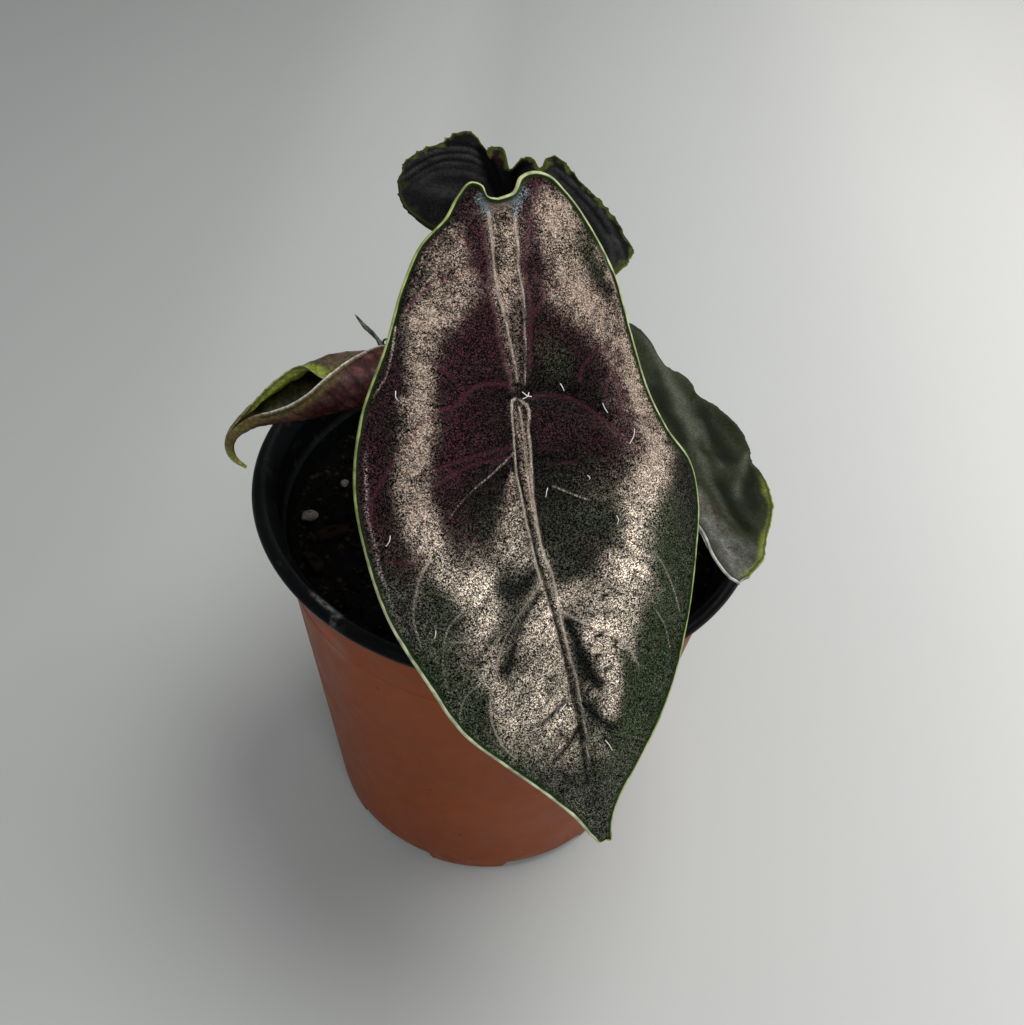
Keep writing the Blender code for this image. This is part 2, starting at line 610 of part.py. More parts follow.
def main():
    clear_scene()
    parts = new_collection("alocasia_in_pot")
    cutters = new_collection("cutters")
    make_pot(parts, cutters)
    make_soil(parts, cutters)
    make_bits(parts)
    paths = stalk_paths()
    green_stalk = make_material("green_stalk", (0.16, 0.20, 0.07), 0.45)
    mauve_stalk = make_material("mauve_stalk", (0.20, 0.10, 0.09), 0.45)
    make_crown(paths, make_material("sheath", (0.14, 0.12, 0.06), 0.6), parts, cutters)
    make_stalks(paths, {"front_petiole": mauve_stalk, "back_petiole": mauve_stalk,
                        "right_petiole": green_stalk, "young_petiole": green_stalk}, parts)
    FRONT.make(make_material("front_leaf", (0.06, 0.035, 0.045), 0.35, 0.3), parts)
    BACK.make(make_material("back_leaf", (0.012, 0.013, 0.014), 0.5), parts)
    RIGHT.make(make_material("right_leaf", (0.03, 0.04, 0.028), 0.45), parts)
    make_young_blade(make_material("young_leaf", (0.10, 0.03, 0.035), 0.45), parts)
    make_dried_tip(make_material("dried_leaf", (0.02, 0.018, 0.014), 0.8), parts)


main()
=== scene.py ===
"""Looks of a young alocasia azlanii in a two-tone nursery pot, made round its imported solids.

Lengths are in millimetres until a mesh is written, and its points are then in metres. The
origin is the middle of the pot's underside and +Z is up. A blade has its own coordinates: a to
its right, b from the stalk towards the tip, and a height above its middle sheet.
"""
import itertools
import math

import bmesh
import bpy
import numpy as np
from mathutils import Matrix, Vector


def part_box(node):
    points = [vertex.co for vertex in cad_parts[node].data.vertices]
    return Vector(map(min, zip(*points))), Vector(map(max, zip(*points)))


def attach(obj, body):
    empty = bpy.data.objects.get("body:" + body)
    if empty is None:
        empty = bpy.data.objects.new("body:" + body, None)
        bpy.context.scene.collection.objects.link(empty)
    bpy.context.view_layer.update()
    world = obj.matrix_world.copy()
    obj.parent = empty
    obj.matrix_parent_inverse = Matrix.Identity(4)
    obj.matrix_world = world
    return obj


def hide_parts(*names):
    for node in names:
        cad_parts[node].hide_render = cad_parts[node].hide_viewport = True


bl_info = {
    "name": "Potted Alocasia",
    "version": (1, 0, 0),
    "blender": (4, 5, 0),
    "location": "View3D > Sidebar > Alocasia",
    "description": "Makes the leaves, stalks, soil and pot of a young potted alocasia",
    "category": "Add Mesh",
}

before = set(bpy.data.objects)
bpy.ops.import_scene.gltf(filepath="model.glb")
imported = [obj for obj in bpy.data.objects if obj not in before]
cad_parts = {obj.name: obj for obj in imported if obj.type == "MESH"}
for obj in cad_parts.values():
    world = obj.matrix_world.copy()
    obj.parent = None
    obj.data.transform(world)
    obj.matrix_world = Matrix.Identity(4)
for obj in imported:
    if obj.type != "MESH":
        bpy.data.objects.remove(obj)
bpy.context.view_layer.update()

MM = 0.001
SEED = 5

# Pot sizes, as its solid has them
POT_HEIGHT = 112
RIM_RADIUS = 60
RIM_INNER_RADIUS = 56.3
RIM_DEPTH = 3.2
COLLAR_RADIUS = 55.6
COLLAR_DEPTH = 12
WALL_TOP_RADIUS = 54.2
BASE_RADIUS = 43
WALL = 1.3
FLOOR = 1.6
BASE_ROUNDING = 1.2
DRAIN_COUNT = 6
DRAIN_ANGLE = 34
DRAIN_HEIGHT = 4
DRAIN_REACH = 3.6
BEAD_HEIGHT = 91
BEAD_DEPTH = 0.25
FOOT_BEARING = -92

SOIL_HEIGHT = 95
CROWN_PLACE = (0, 1)
CROWN_RADIUS = 8.9
CROWN_TAPER = 0.72
CROWN_TOP = 99
CROWN_ROOT = 84
SHEATH_LENGTH = 17
SHEATH_RADIUS = 3.5
STALK_BASE_RADIUS = 2.7
STALK_TIP_RADIUS = 1.8
STALK_APPROACH = 9
YOUNG_APPROACH = 3.5
BLADE_THICKNESS = 0.8
RIB_WIDTH = 2.6
FAR_FROM_EDGE = 30.0
CRUMB_COUNT = 900
CRUMB_REACH = 51

# Grids of the meshes: faces across and along each blade, then counts of rows and columns
FRONT_GRID = (158, 300)
BACK_GRID = (120, 180)
RIGHT_GRID = (120, 170)
STALK_SIDES = 36
STALK_ROWS = 110
POT_COLUMNS = 360
SOIL_RINGS = 124
SOIL_COLUMNS = 420


# Curves

def unit(vector):
    vector = np.asarray(vector, float)
    return vector / np.linalg.norm(vector)


def stacked(*parts):
    """Arrays joined on a new last axis, each first repeated to the same shape."""
    return np.stack(np.broadcast_arrays(*parts), axis=-1)


def full_turn(count):
    """Angles round a circle, evenly spaced from 0."""
    return np.linspace(0, 2 * np.pi, count, endpoint=False)


def lengths_along(curve):
    return np.concatenate([[0], np.cumsum(np.linalg.norm(np.diff(curve, axis=0), axis=1))])


def points_at(curve, stations):
    """Points of a fine curve at the given lengths along it."""
    length = lengths_along(curve)
    return np.stack([np.interp(stations, length, curve[:, k]) for k in range(curve.shape[1])], axis=1)


def resample(curve, count):
    return points_at(curve, np.linspace(0, lengths_along(curve)[-1], count))


def smooth_through(points, count):
    """Curve through the points, each span a cubic between tangents, cut at equal lengths."""
    points = np.array(points, float)
    spans = np.linalg.norm(np.diff(points, axis=0), axis=1)
    knots = np.concatenate([[0], np.cumsum(spans)])
    tangents = np.gradient(points, knots, axis=0)
    fine = np.linspace(0, knots[-1], 40 * len(points))
    span = np.clip(np.searchsorted(knots, fine, side="right") - 1, 0, len(spans) - 1)
    width = spans[span][:, None]
    t = (fine[:, None] - knots[span][:, None]) / width
    curve = ((2 * t**3 - 3 * t**2 + 1) * points[span] + (t**3 - 2 * t**2 + t) * width * tangents[span]
             + (3 * t**2 - 2 * t**3) * points[span + 1] + (t**3 - t**2) * width * tangents[span + 1])
    return resample(curve, count)


def fillet(points, radius, steps=5):
    """Outline with each corner P cut back by the radius and bridged by
    (1 - t)^2 A + 2 t (1 - t) P + t^2 C."""
    points = np.array(points, float)
    t = np.linspace(0, 1, steps)[:, None]
    parts = [points[:1]]
    for before, corner, after in zip(points, points[1:], points[2:]):
        cut = min(radius, 0.45 * np.linalg.norm(before - corner), 0.45 * np.linalg.norm(after - corner))
        start, end = corner + cut * unit(before - corner), corner + cut * unit(after - corner)
        parts.append((1 - t)**2 * start + 2 * t * (1 - t) * corner + t**2 * end)
    return np.concatenate([*parts, points[-1:]])


def frames_along(path, up=(0, 0, 1)):
    """Sideways and upward directions at each point of a path, carried along it without twist."""
    tangents = np.gradient(path, axis=0)
    tangents /= np.linalg.norm(tangents, axis=1)[:, None]
    side = unit(np.cross(tangents[0], up))
    sides = []
    for tangent in tangents:
        side = unit(side - tangent * np.dot(side, tangent))
        sides.append(side)
    sides = np.array(sides)
    return sides, np.cross(sides, tangents)


# Random relief

def lattice(cells, seed):
    """Repeatable number from 0 to 1 for each whole-numbered cell: the fraction of a scaled sine."""
    return np.mod(np.sin(cells @ np.array([127.1, 311.7, 74.7]) + 19.19 * seed) * 43758.5453, 1)


def lumps(points, size, seed=0):
    """Noise from -1 to 1: numbers on a cubic lattice, blended by 3 t^2 - 2 t^3 in each direction."""
    place = np.asarray(points, float) / size
    cell = np.floor(place)
    t = (place - cell)**2 * (3 - 2 * (place - cell))
    total = np.zeros(place.shape[:-1])
    for corner in itertools.product((0, 1), repeat=3):
        weight = np.prod(np.where(np.array(corner) > 0, t, 1 - t), axis=-1)
        total += weight * lattice(cell + corner, seed)
    return 2 * total - 1


def rough(points, size, octaves=3, seed=0):
    """Sum of lumps, each octave half the size and half the height of the last."""
    return sum(lumps(points, size / 2**k, seed + k) / 2**k for k in range(octaves))


def skin_lumps(along, angle, reach, size, seed):
    """Lumps on the skin of a tube, at the points (along, reach cos angle, reach sin angle)."""
    return lumps(stacked(along, reach * np.cos(angle), reach * np.sin(angle)), size, seed)


def bell(distance, width):
    """1 at no distance, falling as exp(-(distance / width)^2)."""
    return np.exp(-(distance / width)**2)


def ease(low, high, value):
    """Rises smoothly from 0 at low to 1 at high, or falls where high is the smaller one."""
    t = np.clip((value - low) / (high - low), 0, 1)
    return t * t * (3 - 2 * t)


# Distances and brush marks on a blade

def distance_to(path, a, b):
    """Distance of each point (a, b) from a path, and where along it the nearest place lies."""
    path = np.asarray(path, float)
    best, place = np.full(np.shape(a), np.inf), np.zeros(np.shape(a))
    for k, (start, end) in enumerate(zip(path[:, :2], path[1:, :2])):
        step = end - start
        t = np.clip(((a - start[0]) * step[0] + (b - start[1]) * step[1]) / (step @ step), 0, 1)
        gap = np.hypot(a - start[0] - t * step[0], b - start[1] - t * step[1])
        nearer = gap < best
        best, place = np.where(nearer, gap, best), np.where(nearer, k + t, place)
    return best, place / (len(path) - 1)


def brush(marks, a, b):
    """Cover from 0 to 1 of soft marks (points, width, strength): one minus the product of
    1 - strength exp(-(distance / width)^2.4). A width or strength may be two numbers, at the
    mark's two ends."""
    bare = np.ones(np.shape(a))
    for points, width, strength in marks:
        path = smooth_through(points, 4 * len(points)) if len(points) > 2 else points
        gap, place = distance_to(path, a, b)
        reach, force = (value[0] + (value[1] - value[0]) * place if isinstance(value, tuple) else value
                        for value in (width, strength))
        bare *= 1 - force * np.exp(-(gap / reach)**2.4)
    return 1 - bare


def line_distance(lines, a, b):
    """Distance to the nearest of the lines (points, start width, end width), less its half width."""
    best = np.full(np.shape(a), 9.0)
    for points, start, end in lines:
        gap, place = distance_to(smooth_through(points, 4 * len(points)), a, b)
        best = np.minimum(best, gap - (start + (end - start) * place) / 2)
    return best


def grooves(lines, a, b, spread):
    """Depth from 0 to 1 of narrow grooves along the lines."""
    return bell(np.maximum(line_distance(lines, a, b), 0), spread)


# Meshes

def quads(index):
    """Faces between the neighbours in an index grid."""
    return np.stack([index[:-1, :-1], index[1:, :-1], index[1:, 1:], index[:-1, 1:]], axis=-1).reshape(-1, 4)


def write_piece(name, points, faces, materials, attributes=None, slots=None, fix_normals=False):
    """Smooth mesh object in metres from points in millimetres and arrays of 3- or 4-sided faces."""
    mesh = bpy.data.meshes.new(name)
    loops = np.concatenate([np.asarray(f).ravel() for f in faces])
    sizes = np.concatenate([np.full(len(f), np.shape(f)[1]) for f in faces])
    mesh.vertices.add(len(points))
    mesh.vertices.foreach_set("co", (np.asarray(points) * MM).astype(np.float32).ravel())
    mesh.loops.add(len(loops))
    mesh.loops.foreach_set("vertex_index", loops.astype(np.int32))
    mesh.polygons.add(len(sizes))
    mesh.polygons.foreach_set("loop_start", np.concatenate([[0], np.cumsum(sizes)[:-1]]).astype(np.int32))
    if slots is not None:
        mesh.polygons.foreach_set("material_index", np.asarray(slots, np.int32))
    mesh.update(calc_edges=True)
    for key, value in (attributes or {}).items():
        kind, part = "FLOAT", "value"
        if value.ndim == 2:
            kind, part = "FLOAT_COLOR", "color"
            value = np.concatenate([value, np.ones((len(value), 1))], axis=1)
        mesh.attributes.new(key, kind, "POINT").data.foreach_set(part, value.astype(np.float32).ravel())
    if fix_normals:
        bm = bmesh.new()
        bm.from_mesh(mesh)
        bmesh.ops.recalc_face_normals(bm, faces=bm.faces)
        bm.to_mesh(mesh)
        bm.free()
    mesh.shade_smooth()
    for material in materials:
        mesh.materials.append(material)
    piece = bpy.data.objects.new(name, mesh)
    bpy.context.scene.collection.objects.link(piece)
    return piece


def rings_round(path, sides, ups, reach, angle):
    """Points path + reach (side cos angle + up sin angle): a ring for each point of the path."""
    return (path[:, None] + (reach * np.cos(angle))[..., None] * sides[:, None]
            + (reach * np.sin(angle))[..., None] * ups[:, None])


def dress(piece, slot, *nodes):
    """Fixes a piece to the plant's one body, in place of its solids."""
    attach(piece, "root")
    if nodes:
        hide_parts(*nodes)


def turned(rings, start_pole, end_pole):
    """Points and faces of rings (rows, columns, 3), closed round and by a fan at each pole."""
    rows, columns = rings.shape[:2]
    index = np.arange(rows * columns).reshape(rows, columns)
    closed = np.concatenate([index, index[:, :1]], axis=1)
    first, last = rows * columns, rows * columns + 1
    fans = [np.stack([np.full(columns, first), closed[0, 1:], closed[0, :-1]], axis=1),
            np.stack([np.full(columns, last), closed[-1, :-1], closed[-1, 1:]], axis=1)]
    points = np.concatenate([rings.reshape(-1, 3), [start_pole], [end_pole]])
    return points, quads(closed), np.concatenate(fans)


def tube(path, radii, around, wobble=0):
    """Closed tube of rings round a path, with the radii times (1 + wobble)."""
    reach = np.asarray(radii)[:, None] * (1 + wobble)
    rings = rings_round(path, *frames_along(path), reach, full_turn(around))
    return turned(rings, path[0], path[-1])


def joined(shells):
    """One set of points, quads and triangles from several closed shells."""
    offset, points, four, three = 0, [], [], []
    for shell_points, shell_quads, shell_fans in shells:
        points.append(shell_points)
        four.append(shell_quads + offset)
        three.append(shell_fans + offset)
        offset += len(shell_points)
    return np.concatenate(points), [np.concatenate(four), np.concatenate(three)]


# Shader trees

class Tree:
    """Places shader nodes: an input takes a number, a colour or another node's output."""

    def __init__(self, tree, material=None):
        self.tree, self.material = tree, material

    def feed(self, node, inputs):
        for key, value in inputs.items():
            if isinstance(value, bpy.types.NodeSocket):
                self.tree.links.new(value, node.inputs[key])
            elif node.inputs[key].type == "RGBA":
                node.inputs[key].default_value = (*value[:3], 1)
            else:
                node.inputs[key].default_value = value

    def add(self, kind, inputs, output=0, **settings):
        node = self.tree.nodes.new(kind)
        for key, value in settings.items():
            setattr(node, key, value)
        self.feed(node, inputs)
        return node.outputs[output]

    def group(self, name, inputs, output=0):
        node = self.tree.nodes.new("ShaderNodeGroup")
        node.node_tree = bpy.data.node_groups[name]
        self.feed(node, inputs)
        return node.outputs if output is None else node.outputs[output]

    def place(self):
        return self.add("ShaderNodeTexCoord", {}, "Object")

    def attribute(self, name, output="Fac"):
        return self.add("ShaderNodeAttribute", {}, output, attribute_name=name)

    def math(self, operation, first, second=0):
        return self.add("ShaderNodeMath", {0: first, 1: second}, operation=operation)

    def plus(self, first, second):
        return self.math("ADD", first, second)

    def times(self, first, second):
        return self.math("MULTIPLY", first, second)

    def centred(self, value, spread):
        """Number from 0 to 1, moved to lie about 0 and multiplied by the spread."""
        return self.times(self.math("SUBTRACT", value, 0.5), spread)

    def mix(self, factor, first, second, blend="MIX"):
        return self.add("ShaderNodeMix", {0: factor, 6: first, 7: second}, 2, data_type="RGBA",
                        blend_type=blend)

    def shade(self, colour, level):
        """Colour multiplied by a grey level."""
        grey = self.add("ShaderNodeCombineColor", {"Red": level, "Green": level, "Blue": level})
        return self.mix(1, colour, grey, "MULTIPLY")

    def ramp(self, value, low, high, start=0, end=1):
        """From start to end, smoothly, as the value goes from low to high."""
        return self.add("ShaderNodeMapRange", {0: value, 1: low, 2: high, 3: start, 4: end},
                        interpolation_type="SMOOTHSTEP")

    def noise(self, per_metre, detail=3, rough=0.5, stretch=None):
        vector = self.place()
        if stretch:
            vector = self.add("ShaderNodeMapping", {"Vector": vector, "Scale": stretch})
        return self.add("ShaderNodeTexNoise", {"Vector": vector, "Scale": per_metre, "Detail": detail,
                                               "Roughness": rough})

    def cells(self, per_metre, output="Distance", feature="F1"):
        return self.add("ShaderNodeTexVoronoi", {"Vector": self.place(), "Scale": per_metre}, output,
                        feature=feature)

    def net(self, per_metre, width, strength):
        """Thin lines along the borders of cells."""
        return self.ramp(self.cells(per_metre, feature="DISTANCE_TO_EDGE"), 0.02, width, strength, 0)

    def bump(self, height, millimetres, strength):
        return self.add("ShaderNodeBump", {"Height": height, "Distance": millimetres * MM,
                                           "Strength": strength})

    def toned(self, colour, per_metre, depth):
        """Colour multiplied by a slow change of tone."""
        return self.shade(colour, self.group("tone_drift", {"Per Metre": per_metre, "Depth": depth}))

    def flecked(self, colour, cover, per_metre, strength, tone):
        """Colour with flecks of another tone on it."""
        flecks = self.group("flecks", {"Cover": cover, "Per Metre": per_metre})
        return self.mix(self.times(flecks, strength), colour, tone)

    def even_grain(self, swing, middle, lowest):
        """Grey level (middle + swing)^2.2, so that its grains stay even to the eye."""
        return self.math("POWER", self.math("MAXIMUM", self.plus(swing, middle), lowest), 2.2)

    def finish(self, colour, roughness, normal=None, specular=0.5):
        """Feeds the material's shader, and returns the material."""
        shader = self.tree.nodes["Principled BSDF"]
        self.feed(shader, {"Base Color": colour, "Roughness": roughness, "Specular IOR Level": specular})
        if normal:
            self.feed(shader, {"Normal": normal})
        return self.material


def new_group(name, inputs, outputs):
    """Node group with float inputs {name: default} and float outputs: its tree, the sockets that it
    is given, and the node that takes its results."""
    tree = bpy.data.node_groups.new(name, "ShaderNodeTree")
    for key, default in inputs.items():
        socket = tree.interface.new_socket(name=key, in_out="INPUT", socket_type="NodeSocketFloat")
        socket.default_value = default
    for key in outputs:
        tree.interface.new_socket(name=key, in_out="OUTPUT", socket_type="NodeSocketFloat")
    return Tree(tree), tree.nodes.new("NodeGroupInput").outputs, tree.nodes.new("NodeGroupOutput")


def make_grain_group():
    """Leaf cells at Per Metre: Grain and Speck are two numbers drawn for each cell, from -1.5 to
    1.5. Grain also has a slower noise in it, so that the cells clump."""
    tree, given, result = new_group("grains", {"Per Metre": 2700}, ("Grain", "Speck"))
    cell = tree.cells(given["Per Metre"], "Color")
    slow = tree.noise(tree.times(given["Per Metre"], 0.45), 2, 0.6)
    red, green = (tree.centred(tree.add("ShaderNodeSeparateColor", {"Color": cell}, channel), 3)
                  for channel in ("Red", "Green"))
    tree.feed(result, {"Grain": tree.plus(red, tree.centred(slow, 1.1)), "Speck": green})


def make_fleck_group():
    """Flecks: 1 in a Cover share of the cells, at Per Metre, and 0 in the others."""
    tree, given, result = new_group("flecks", {"Cover": 0.1, "Per Metre": 900}, ("Mask",))
    tone = tree.add("ShaderNodeSeparateColor", {"Color": tree.cells(given["Per Metre"], "Color")}, "Red")
    mask = tree.ramp(tone, given["Cover"], tree.plus(given["Cover"], 0.02), 1, 0)
    tree.feed(result, {"Mask": mask})


def make_margin_group():
    """Leaf edge from the distance in margin widths: Line is 1 on the margin, Inside just behind it."""
    tree, given, result = new_group("margin", {"Edge": 9}, ("Line", "Inside"))
    edge = tree.plus(given["Edge"], tree.centred(tree.noise(260, 2), 0.9))
    tree.feed(result, {"Line": tree.ramp(edge, 0.8, 1.3, 1, 0),
                       "Inside": tree.ramp(edge, 1.6, 3, 1, 0)})


def make_drift_group():
    """Slow change of tone over a surface, from about 1 - Depth to 1 + Depth, at Per Metre."""
    tree, given, result = new_group("tone_drift", {"Per Metre": 60, "Depth": 0.2}, ("Tone",))
    wave = tree.centred(tree.noise(given["Per Metre"], 4, 0.55), 4)
    tree.feed(result, {"Tone": tree.plus(tree.times(wave, given["Depth"]), 1)})


def new_material(name):
    """Tree of a new material. Its finish feeds the shader and returns the material."""
    material = bpy.data.materials.new(name)
    material.use_nodes = True
    return Tree(material.node_tree, material)


def scaled(colour, factor):
    return [channel * factor for channel in colour]


# Settings

def colour_property(name, description, default):
    return bpy.props.FloatVectorProperty(name=name, description=description, default=default,
                                         subtype="COLOR", size=3, min=0, max=1)


def number_property(name, description, default, unit="NONE"):
    return bpy.props.FloatProperty(name=name, description=description, default=default, unit=unit, min=0)


class AlocasiaLeafSettings(bpy.types.PropertyGroup):
    """Colours of the blades."""
    ground: colour_property("Ground", "Darkest colour of the upper faces", (0.0062, 0.0046, 0.0044))
    # Sheen colour: partly the leaf's own copper, partly painted reflection of the light
    bronze_and_sheen: colour_property("Bronze", "Mean colour of the pale sheen", (0.405, 0.312, 0.248))
    wine: colour_property("Wine", "Specks and ribs of the front leaf's upper half", (0.2, 0.046, 0.084))
    margin: colour_property("Margin", "Pale line round the front leaf", (0.4, 0.46, 0.17))
    vein: colour_property("Vein", "Pale lines along the veins", (0.62, 0.52, 0.42))
    olive: colour_property("Olive", "Edge of the back leaf", (0.082, 0.094, 0.026))
    grey_green: colour_property("Grey green", "Upper face of the right leaf", (0.03, 0.036, 0.019))
    yellow_green: colour_property("Yellow green", "Lower edge of the right leaf", (0.26, 0.3, 0.045))
    underside: colour_property("Underside", "Lower faces", (0.075, 0.026, 0.03))
    lime: colour_property("Lime", "Inner face of the young leaf", (0.2, 0.235, 0.03))


class AlocasiaPotSettings(bpy.types.PropertyGroup):
    """Sizes and colours of the pot and what lies in it."""
    terracotta: colour_property("Terracotta", "Outer skin of the pot", (0.245, 0.053, 0.0115))
    lining: colour_property("Lining", "Rim and inner skin of the pot", (0.0016, 0.0019, 0.0023))
    # The mix, perlite and bark have colours far darker than their own: painted shade over the soil inside the
    # rim
    soil: colour_property("Soil", "Potting mix", (0.0012, 0.001, 0.0007))
    perlite: colour_property("Perlite", "Pale crumbs on the soil", (0.075, 0.065, 0.057))
    bark: colour_property("Bark", "Brown bits on the soil", (0.0035, 0.0021, 0.0012))
    crumb: number_property("Crumb size", "Typical radius of a crumb of soil", 0.0006, "LENGTH")


class AlocasiaStageSettings(bpy.types.PropertyGroup):
    """Floor, lights and camera."""
    floor: colour_property("Floor", "Plain pale floor", (0.62, 0.625, 0.61))
    key_power: number_property("Key light", "Power of the large light on the right", 12, "POWER")
    fill_power: number_property("Fill light", "Power of the light over the front", 4.2, "POWER")
    sky: number_property("Sky", "Strength of the even light all round", 0.24)


# Blades: the same sheets, outlines and relief as their solids

def square_to_disc(u, v):
    """Distance from the middle, and the turn from +v (0) to -v (1), of a square's points."""
    rho = np.maximum(np.abs(u), np.abs(v))
    safe = np.where(rho == 0, 1, rho)
    across = np.where(v > 0, np.abs(u) / safe, 4 - np.abs(u) / safe)
    turn = np.where(np.abs(v) >= np.abs(u), across, 2 - v / safe) / 4
    return rho, turn


class Sheet:
    """Bent sheet: place = origin + a across + b along + (height - droop b^2 - arch a^2) normal."""

    def __init__(self, origin, heading, dip, roll, droop, arch, centre, right, left, relief):
        self.origin, self.relief = np.array(origin, float), relief
        heading, dip, roll = np.radians([heading, dip, roll])
        self.along = np.array([math.sin(heading) * math.cos(dip), -math.cos(heading) * math.cos(dip),
                               -math.sin(dip)])
        level = np.array([math.cos(heading), math.sin(heading), 0])
        self.normal = np.cross(self.along, level) * math.cos(roll) + level * math.sin(roll)
        self.across = np.cross(self.normal, self.along)
        self.droop, self.arch = droop, arch
        self.centre = np.array(centre, float)
        self.right, self.left = smooth_through(right, 400), smooth_through(left, 400)

    def flat(self, u, v):
        """a and b of a square's points: rings of the outline, shrunk towards the centre."""
        rho, turn = square_to_disc(u, v)
        station = turn * (len(self.right) - 1)
        index = np.arange(len(self.right))
        side = stacked(*(np.where(u >= 0, np.interp(station, index, self.right[:, k]),
                                  np.interp(station, index, self.left[:, k])) for k in (0, 1)))
        a, b = np.moveaxis(self.centre + rho[..., None] * (side - self.centre), -1, 0)
        return a, b, rho, turn

    def place(self, a, b, height):
        lift = height - self.droop * b**2 - self.arch * a**2
        return (self.origin + a[..., None] * self.across + b[..., None] * self.along
                + lift[..., None] * self.normal)

    def outline(self):
        return np.concatenate([self.right, self.left[::-1]])

    def stalk_end(self):
        """Middle of the blade's lower face at a = b = 0."""
        towards_notch = self.centre[1] > 0
        edge = self.right[-1 if towards_notch else 0]
        rho = self.centre[1] / (self.centre[1] - edge[1])
        zero = np.zeros(1)
        middle = self.relief(zero, zero, np.array([rho]), np.array([float(towards_notch)]))
        return self.place(zero, zero, middle - BLADE_THICKNESS / 2)[0]


# Where the side veins leave the midrib
FRONT_VEINS = (-24, -2, 12, 36, 57)
BACK_VEINS = (-34, -22, -10, 3, 16, 30)
RIGHT_VEINS = (-16, -6, 4, 14, 24)


def side_veins(a, b, stations, sweep, bend, width=RIB_WIDTH):
    """Nearness to the veins that leave the midrib at the stations and curve towards the tip."""
    along = b - sweep * np.abs(a) - bend * a**2
    return sum(bell(along - station, width) for station in stations)


def front_relief(a, b, rho, turn):
    """A raised ring between midrib and margin, a sunk midrib and sunk side veins."""
    ring = 2.4 * np.sin(np.pi * rho**1.45)**2 * (1 - 0.55 * bell(a, 5))
    veins = side_veins(a, b, FRONT_VEINS, 0.35, 0.018)
    return ring - 0.7 * veins * np.sin(np.pi * rho) - 0.8 * bell(a, 2.2) * (1 - rho**4)


def back_relief(a, b, rho, turn):
    """A deep fold up the middle of the lobes, arched ribs and a ruffled edge."""
    fold = 6 * bell(a - 0.5, 4.5) * np.clip((-b - 4) / 10, 0, 1)
    ribs = side_veins(a, b, BACK_VEINS, 0.25, 0.012)
    ruffle = 0.8 * np.sin(turn * 46 + np.sign(a)) * rho**8
    return 2 * np.sin(np.pi * rho)**2 - fold - 0.7 * ribs * np.sin(np.pi * rho) + ruffle


def right_relief(a, b, rho, turn):
    """Halves raised from a sunk midrib, and waves that grow towards the edge."""
    fold = np.where(a > 0, 0.1 * a, -0.04 * a)
    waves = np.where(a > 0, 1.6 * np.sin(turn * 25 + 0.6), 0.8 * np.sin(turn * 20)) * rho**2.5
    ribs = side_veins(a, b, RIGHT_VEINS, 0.4, 0.015)
    return fold + waves - 0.5 * ribs * np.sin(np.pi * rho)


FRONT = Sheet(
    origin=(1.1, -37.2, 165.1), heading=26, dip=52, roll=0, droop=0.0004, arch=0.004,
    centre=(-0.6, 22), relief=front_relief,
    right=[(1.8, 88.3), (3, 88.9), (3.5, 86), (5.5, 81.5), (9.8, 76.5), (16.4, 69.4), (22.5, 60.8),
           (28, 49.8), (32.6, 37), (35, 27.5), (34.4, 19.2), (30, 11.8), (27.3, 5), (25.1, -7.5),
           (23.7, -18.5), (20.9, -26.3), (16.1, -35), (13.6, -37.9), (10.4, -39), (7.4, -38.2), (5.8, -36),
           (2.6, -35.2)],
    left=[(1.8, 88.3), (0.7, 88.5), (-0.7, 86.9), (-3.4, 82.2), (-8.6, 75.2), (-15.6, 67), (-22, 59),
          (-26.8, 47.6), (-31.4, 33.9), (-32.8, 22), (-32.4, 9.5), (-28.8, -2.2), (-22, -14), (-17.4, -23),
          (-12.6, -29.6), (-7.6, -33.2), (-4.8, -36.4), (-1.6, -38.6), (0.4, -37.6), (0.8, -35.8),
          (2.6, -35.2)])

BACK = Sheet(
    origin=(2.6, 39, 136), heading=18, dip=30, roll=0, droop=0.0012, arch=0.009,
    centre=(0, -6), relief=back_relief,
    right=[(0, 46), (5, 38), (10.5, 30), (16, 21), (20.5, 12), (22, 4), (22.8, -3), (25.4, -6.9),
           (29.3, -10.3), (33.6, -16.2), (30.6, -22.5), (27.2, -26.7), (24.6, -31.8), (20.6, -35.4),
           (18, -38.5), (14.4, -42.4), (12.2, -41.4), (9.7, -38.2), (8.2, -41), (4.6, -41.6), (2.6, -40.6)],
    left=[(0, 46), (-5, 38), (-10.5, 30), (-15.5, 21), (-18.6, 12), (-19.6, 3), (-19.2, -6), (-18.6, -14),
          (-19.4, -20.6), (-24, -26), (-26.6, -29.7), (-28, -34), (-27.9, -38.4), (-26.6, -42.4),
          (-24.2, -45.8), (-20.2, -47.2), (-15.6, -48.7), (-11, -50.8), (-8, -51.2), (-5.5, -48.8),
          (-3.6, -45.6), (-1.2, -48.8), (0.8, -49.2), (2.6, -40.6)])

RIGHT = Sheet(
    origin=(30, -6.2, 136.2), heading=32, dip=14, roll=12, droop=0, arch=0,
    centre=(1, 6), relief=right_relief,
    right=[(-4, 42), (-1.6, 41.4), (4.9, 38.9), (10.5, 34.4), (15, 29.3), (17.2, 21.6), (18.8, 16),
           (22.2, 11.1), (21.8, 6.3), (17.8, 1), (15.8, -4.1), (18.2, -8.8), (17.9, -11.4), (13.7, -15.4),
           (12.2, -21.5), (10.8, -28.1), (8.2, -31.4), (5.6, -31.8), (3, -29), (1, -24)],
    left=[(-4, 42), (-5.6, 40.6), (-6.9, 37.4), (-6.9, 34.3), (-5.8, 31), (-5.2, 27), (-7.4, 22),
          (-11.6, 14), (-13.6, 4), (-13.8, -7), (-12.6, -18), (-9.8, -25.4), (-6, -28.6), (-2.2, -27.6),
          (1, -24)])


